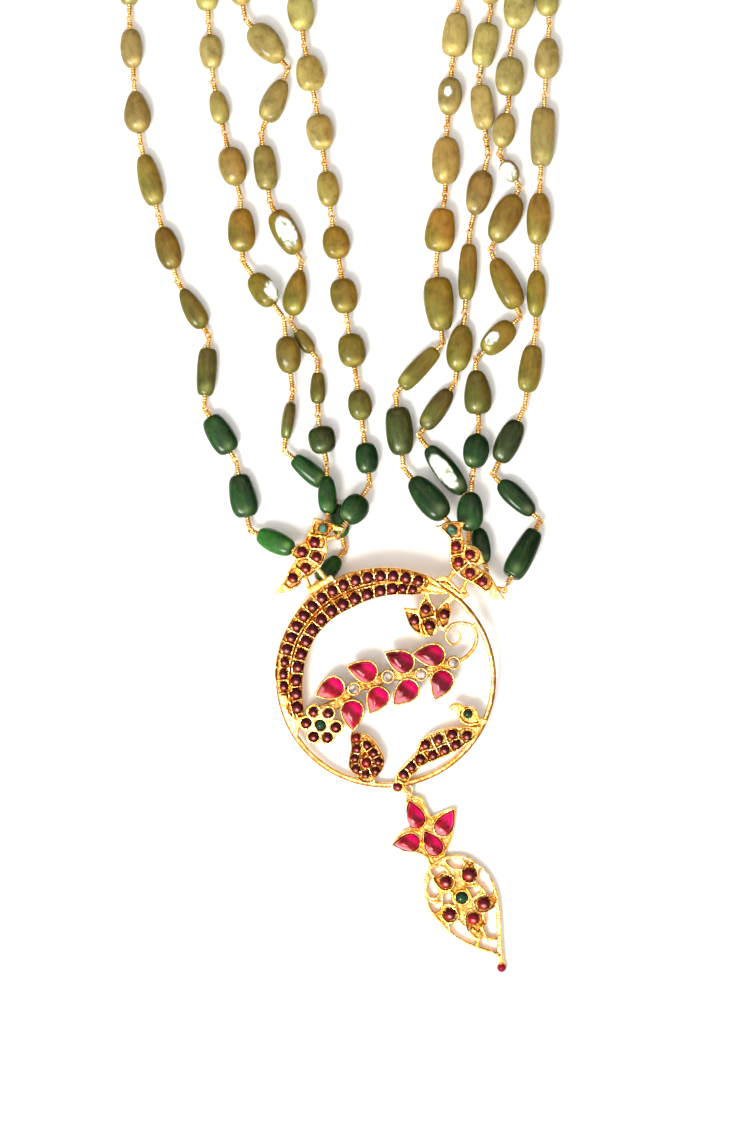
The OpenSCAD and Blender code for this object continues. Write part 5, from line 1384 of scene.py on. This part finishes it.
def cut_stone(name, spot, finish, slot, look, turn=0.0):
    """A cut stone: a table with a ring of star facets and a ring of long facets down to its girdle."""
    x, y, r = spot
    n = look.facets
    a = around(n) + math.radians(turn)
    # Height and size of each ring, and whether it's turned by half a facet
    rings = [(0, 0.95, 0), (0.42, 1, 0), (0.5, 1, 0.5), (0.82, 0.82, 1), (1, 0.52, 1.5)]
    points = np.concatenate([
        np.column_stack([x + r * size * np.cos(a + t * TURN / n), y + r * size * np.sin(a + t * TURN / n),
                         np.full(n, BACK_H + STONE_PLAY + STONE_H * h)]) for h, size, t in rings])
    j = np.arange(n)
    k = (j + 1) % n
    faces = [j[None, ::-1], np.stack([j, k, n + k, n + j], -1), j[None] + 4 * n]
    for low in (n, 2 * n, 3 * n):
        faces += [np.stack([low + j, low + k, low + n + j], -1),
                  np.stack([low + k, low + n + k, low + n + j], -1)]
    shape = Shape(raised)
    shape.add(points, faces)
    shape.finish(name + "_cut", finish, slot, name, sharp=5)


class NECKLACE_OT_beads(bpy.types.Operator):
    """Adds the tumbled beads of the eight strings"""
    bl_idname = "necklace.beads"
    bl_label = "Beads"

    def execute(self, context):
        for seed, name in enumerate(STRINGS):
            beads(name, context.scene.necklace_beads, seed)
        return {"FINISHED"}


class NECKLACE_OT_wire(bpy.types.Operator):
    """Adds the wrapped and linked gold wire of the eight strings, and the clasp"""
    bl_idname = "necklace.wire"
    bl_label = "Wire and clasp"

    def execute(self, context):
        for name in STRINGS:
            wire(name, context.scene.necklace_wire)
        clasp()
        return {"FINISHED"}


class NECKLACE_OT_pendant(bpy.types.Operator):
    """Adds the gold of the round pendant"""
    bl_idname = "necklace.pendant"
    bl_label = "Pendant gold"

    def execute(self, context):
        for make in (crescent, hoop, birds, ornaments, spray):
            make()
        return {"FINISHED"}


class NECKLACE_OT_drop(bpy.types.Operator):
    """Adds the gold of the drop"""
    bl_idname = "necklace.drop"
    bl_label = "Drop gold"

    def execute(self, context):
        drop()
        return {"FINISHED"}


class NECKLACE_OT_round_stones(bpy.types.Operator):
    """Adds the round cabochons"""
    bl_idname = "necklace.round_stones"
    bl_label = "Round stones"

    def execute(self, context):
        outer, inner = crescent_stones()
        cabochons("crescent_outer_rubies", outer)
        cabochons("crescent_inner_rubies", inner)
        for name, stones in {**STONES, **DROP_STONES}.items():
            cabochons(name, stones)
        end_ruby()
        return {"FINISHED"}


class NECKLACE_OT_pear_stones(bpy.types.Operator):
    """Adds the pear-shaped cabochons"""
    bl_idname = "necklace.pear_stones"
    bl_label = "Pear-shaped stones"

    def execute(self, context):
        for i, (row, depth) in enumerate(zip(SPRAY_PEARS, PEAR_DEPTHS), 1):
            pear_stone(f"spray_ruby_{i}", row, raised, depth)
        for i, row in enumerate(DROP_PEARS, 1):
            pear_stone(f"drop_ruby_{i}", row, level, DROP_PEAR_DEPTH)
        return {"FINISHED"}


class NECKLACE_OT_cut_stones(bpy.types.Operator):
    """Adds the cut diamonds and the birds' cut eyes"""
    bl_idname = "necklace.cut_stones"
    bl_label = "Cut stones"

    def execute(self, context):
        look = context.scene.necklace_stones
        for i, spot in enumerate(DIAMONDS, 1):
            cut_stone(f"spray_diamond_{i}", spot, "rose_diamond", "diamond", look, 20 * i)
        for name, spot in EYES.items():
            cut_stone(name, spot, "cut_emerald", "green_stone", look, 10)
        return {"FINISHED"}


# Stage, in metres: half the floor's side and its drop below the part, the point of the floor in the
# photo's middle, how much of the floor the photo spans and how high up that is measured. Then the
# light's place, the point it faces, its side and its power.
FLOOR_HALF, FLOOR_Z = 6, -0.00002
PHOTO_MIDDLE, PHOTO_SPAN, PHOTO_LEVEL = (0.00578, -0.0581), 0.2475, 0.003
LIGHT_PLACE, LIGHT_AIM, LIGHT_SIDE, LIGHT_POWER = (-0.2, -0.42, 0.62), (0.006, -0.058, 0), 0.24, 6
FILM_HEIGHT, FILM_WIDTH = 36, 24


def studio_walls():
    """Light from all round, which falls off evenly from high at the lower left, in the light's
    direction, to dark low walls across from it, with brighter and darker patches, so that gold has
    something to mirror."""
    world = bpy.data.worlds.new("studio")
    world.use_nodes = True
    m = Nodes(world.node_tree)
    way = m.node("ShaderNodeTexCoord", out="Generated")
    toward = m.vector("DOT_PRODUCT", way, (-0.3, -0.5, 0.81), out="Value")
    light = toward.spread(-0.3, 1, 0.04, 1.7) * m.noise(3.2, where=way).spread(0.4, 0.6, 0.4, 1.5)
    background = world.node_tree.nodes["Background"]
    m.feed(background.inputs["Color"], (1, 0.985, 0.96))
    m.feed(background.inputs["Strength"], light)
    return world


def placed(name, data, spot):
    """An object put at a spot of the scene."""
    thing = bpy.data.objects.new(name, data)
    thing.location = spot
    bpy.context.scene.collection.objects.link(thing)
    return thing


class NECKLACE_OT_stage(bpy.types.Operator):
    """Adds the floor, the soft light and the camera"""
    bl_idname = "necklace.stage"
    bl_label = "Stage"

    def execute(self, context):
        scene = context.scene
        mesh = bpy.data.meshes.new("floor")
        corners = FLOOR_HALF * np.array([[-1, -1], [1, -1], [1, 1], [-1, 1]])
        mesh.from_pydata(flat(corners, FLOOR_Z), [], [(0, 1, 2, 3)])
        mesh.materials.append(material("paper"))
        placed("floor", mesh, (0, 0, 0))
        scene.world = studio_walls()
        scene.view_settings.view_transform = "Standard"
        light = bpy.data.lights.new("key", "AREA")
        light.size, light.energy, light.color = LIGHT_SIDE, LIGHT_POWER, (1, 0.97, 0.9)
        lamp = placed("key", light, LIGHT_PLACE)
        lamp.rotation_euler = (Vector(LIGHT_AIM) - lamp.location).to_track_quat("-Z", "Y").to_euler()
        height = scene.necklace_stage.distance
        camera = bpy.data.cameras.new("camera")
        camera.sensor_fit, camera.sensor_height, camera.sensor_width = "VERTICAL", FILM_HEIGHT, FILM_WIDTH
        camera.lens = FILM_HEIGHT * (height - PHOTO_LEVEL) / PHOTO_SPAN
        scene.camera = placed("camera", camera, (*PHOTO_MIDDLE, height))
        return {"FINISHED"}


OPERATORS = (NECKLACE_OT_stage, NECKLACE_OT_beads, NECKLACE_OT_wire, NECKLACE_OT_pendant, NECKLACE_OT_drop,
             NECKLACE_OT_round_stones, NECKLACE_OT_pear_stones, NECKLACE_OT_cut_stones)


class NECKLACE_PT_panel(bpy.types.Panel):
    """Lists the necklace's settings and pieces"""
    bl_idname = "NECKLACE_PT_panel"
    bl_label = "Temple necklace"
    bl_space_type = "VIEW_3D"
    bl_region_type = "UI"
    bl_category = "Necklace"

    def draw(self, context):
        for group in LOOKS:
            look = getattr(context.scene, group)
            for key in look.bl_rna.properties.keys():
                if key not in ("rna_type", "name"):
                    self.layout.prop(look, key)
        for operator in OPERATORS:
            self.layout.operator(operator.bl_idname)


LOOKS = {"necklace_beads": BeadLook, "necklace_wire": WireLook, "necklace_gold": GoldLook,
         "necklace_stones": StoneLook, "necklace_stage": StageLook}
CLASSES = tuple(LOOKS.values()) + OPERATORS + (NECKLACE_PT_panel,)


def register():
    for cls in CLASSES:
        bpy.utils.register_class(cls)
    for name, cls in LOOKS.items():
        setattr(bpy.types.Scene, name, PointerProperty(type=cls))


def unregister():
    for name in LOOKS:
        delattr(bpy.types.Scene, name)
    for cls in reversed(CLASSES):
        bpy.utils.unregister_class(cls)


def main():
    register()
    bpy.ops.necklace.stage()
    bpy.ops.necklace.beads()
    bpy.ops.necklace.wire()
    bpy.ops.necklace.pendant()
    bpy.ops.necklace.drop()
    bpy.ops.necklace.round_stones()
    bpy.ops.necklace.pear_stones()
    bpy.ops.necklace.cut_stones()


if __name__ == "__main__":
    main()
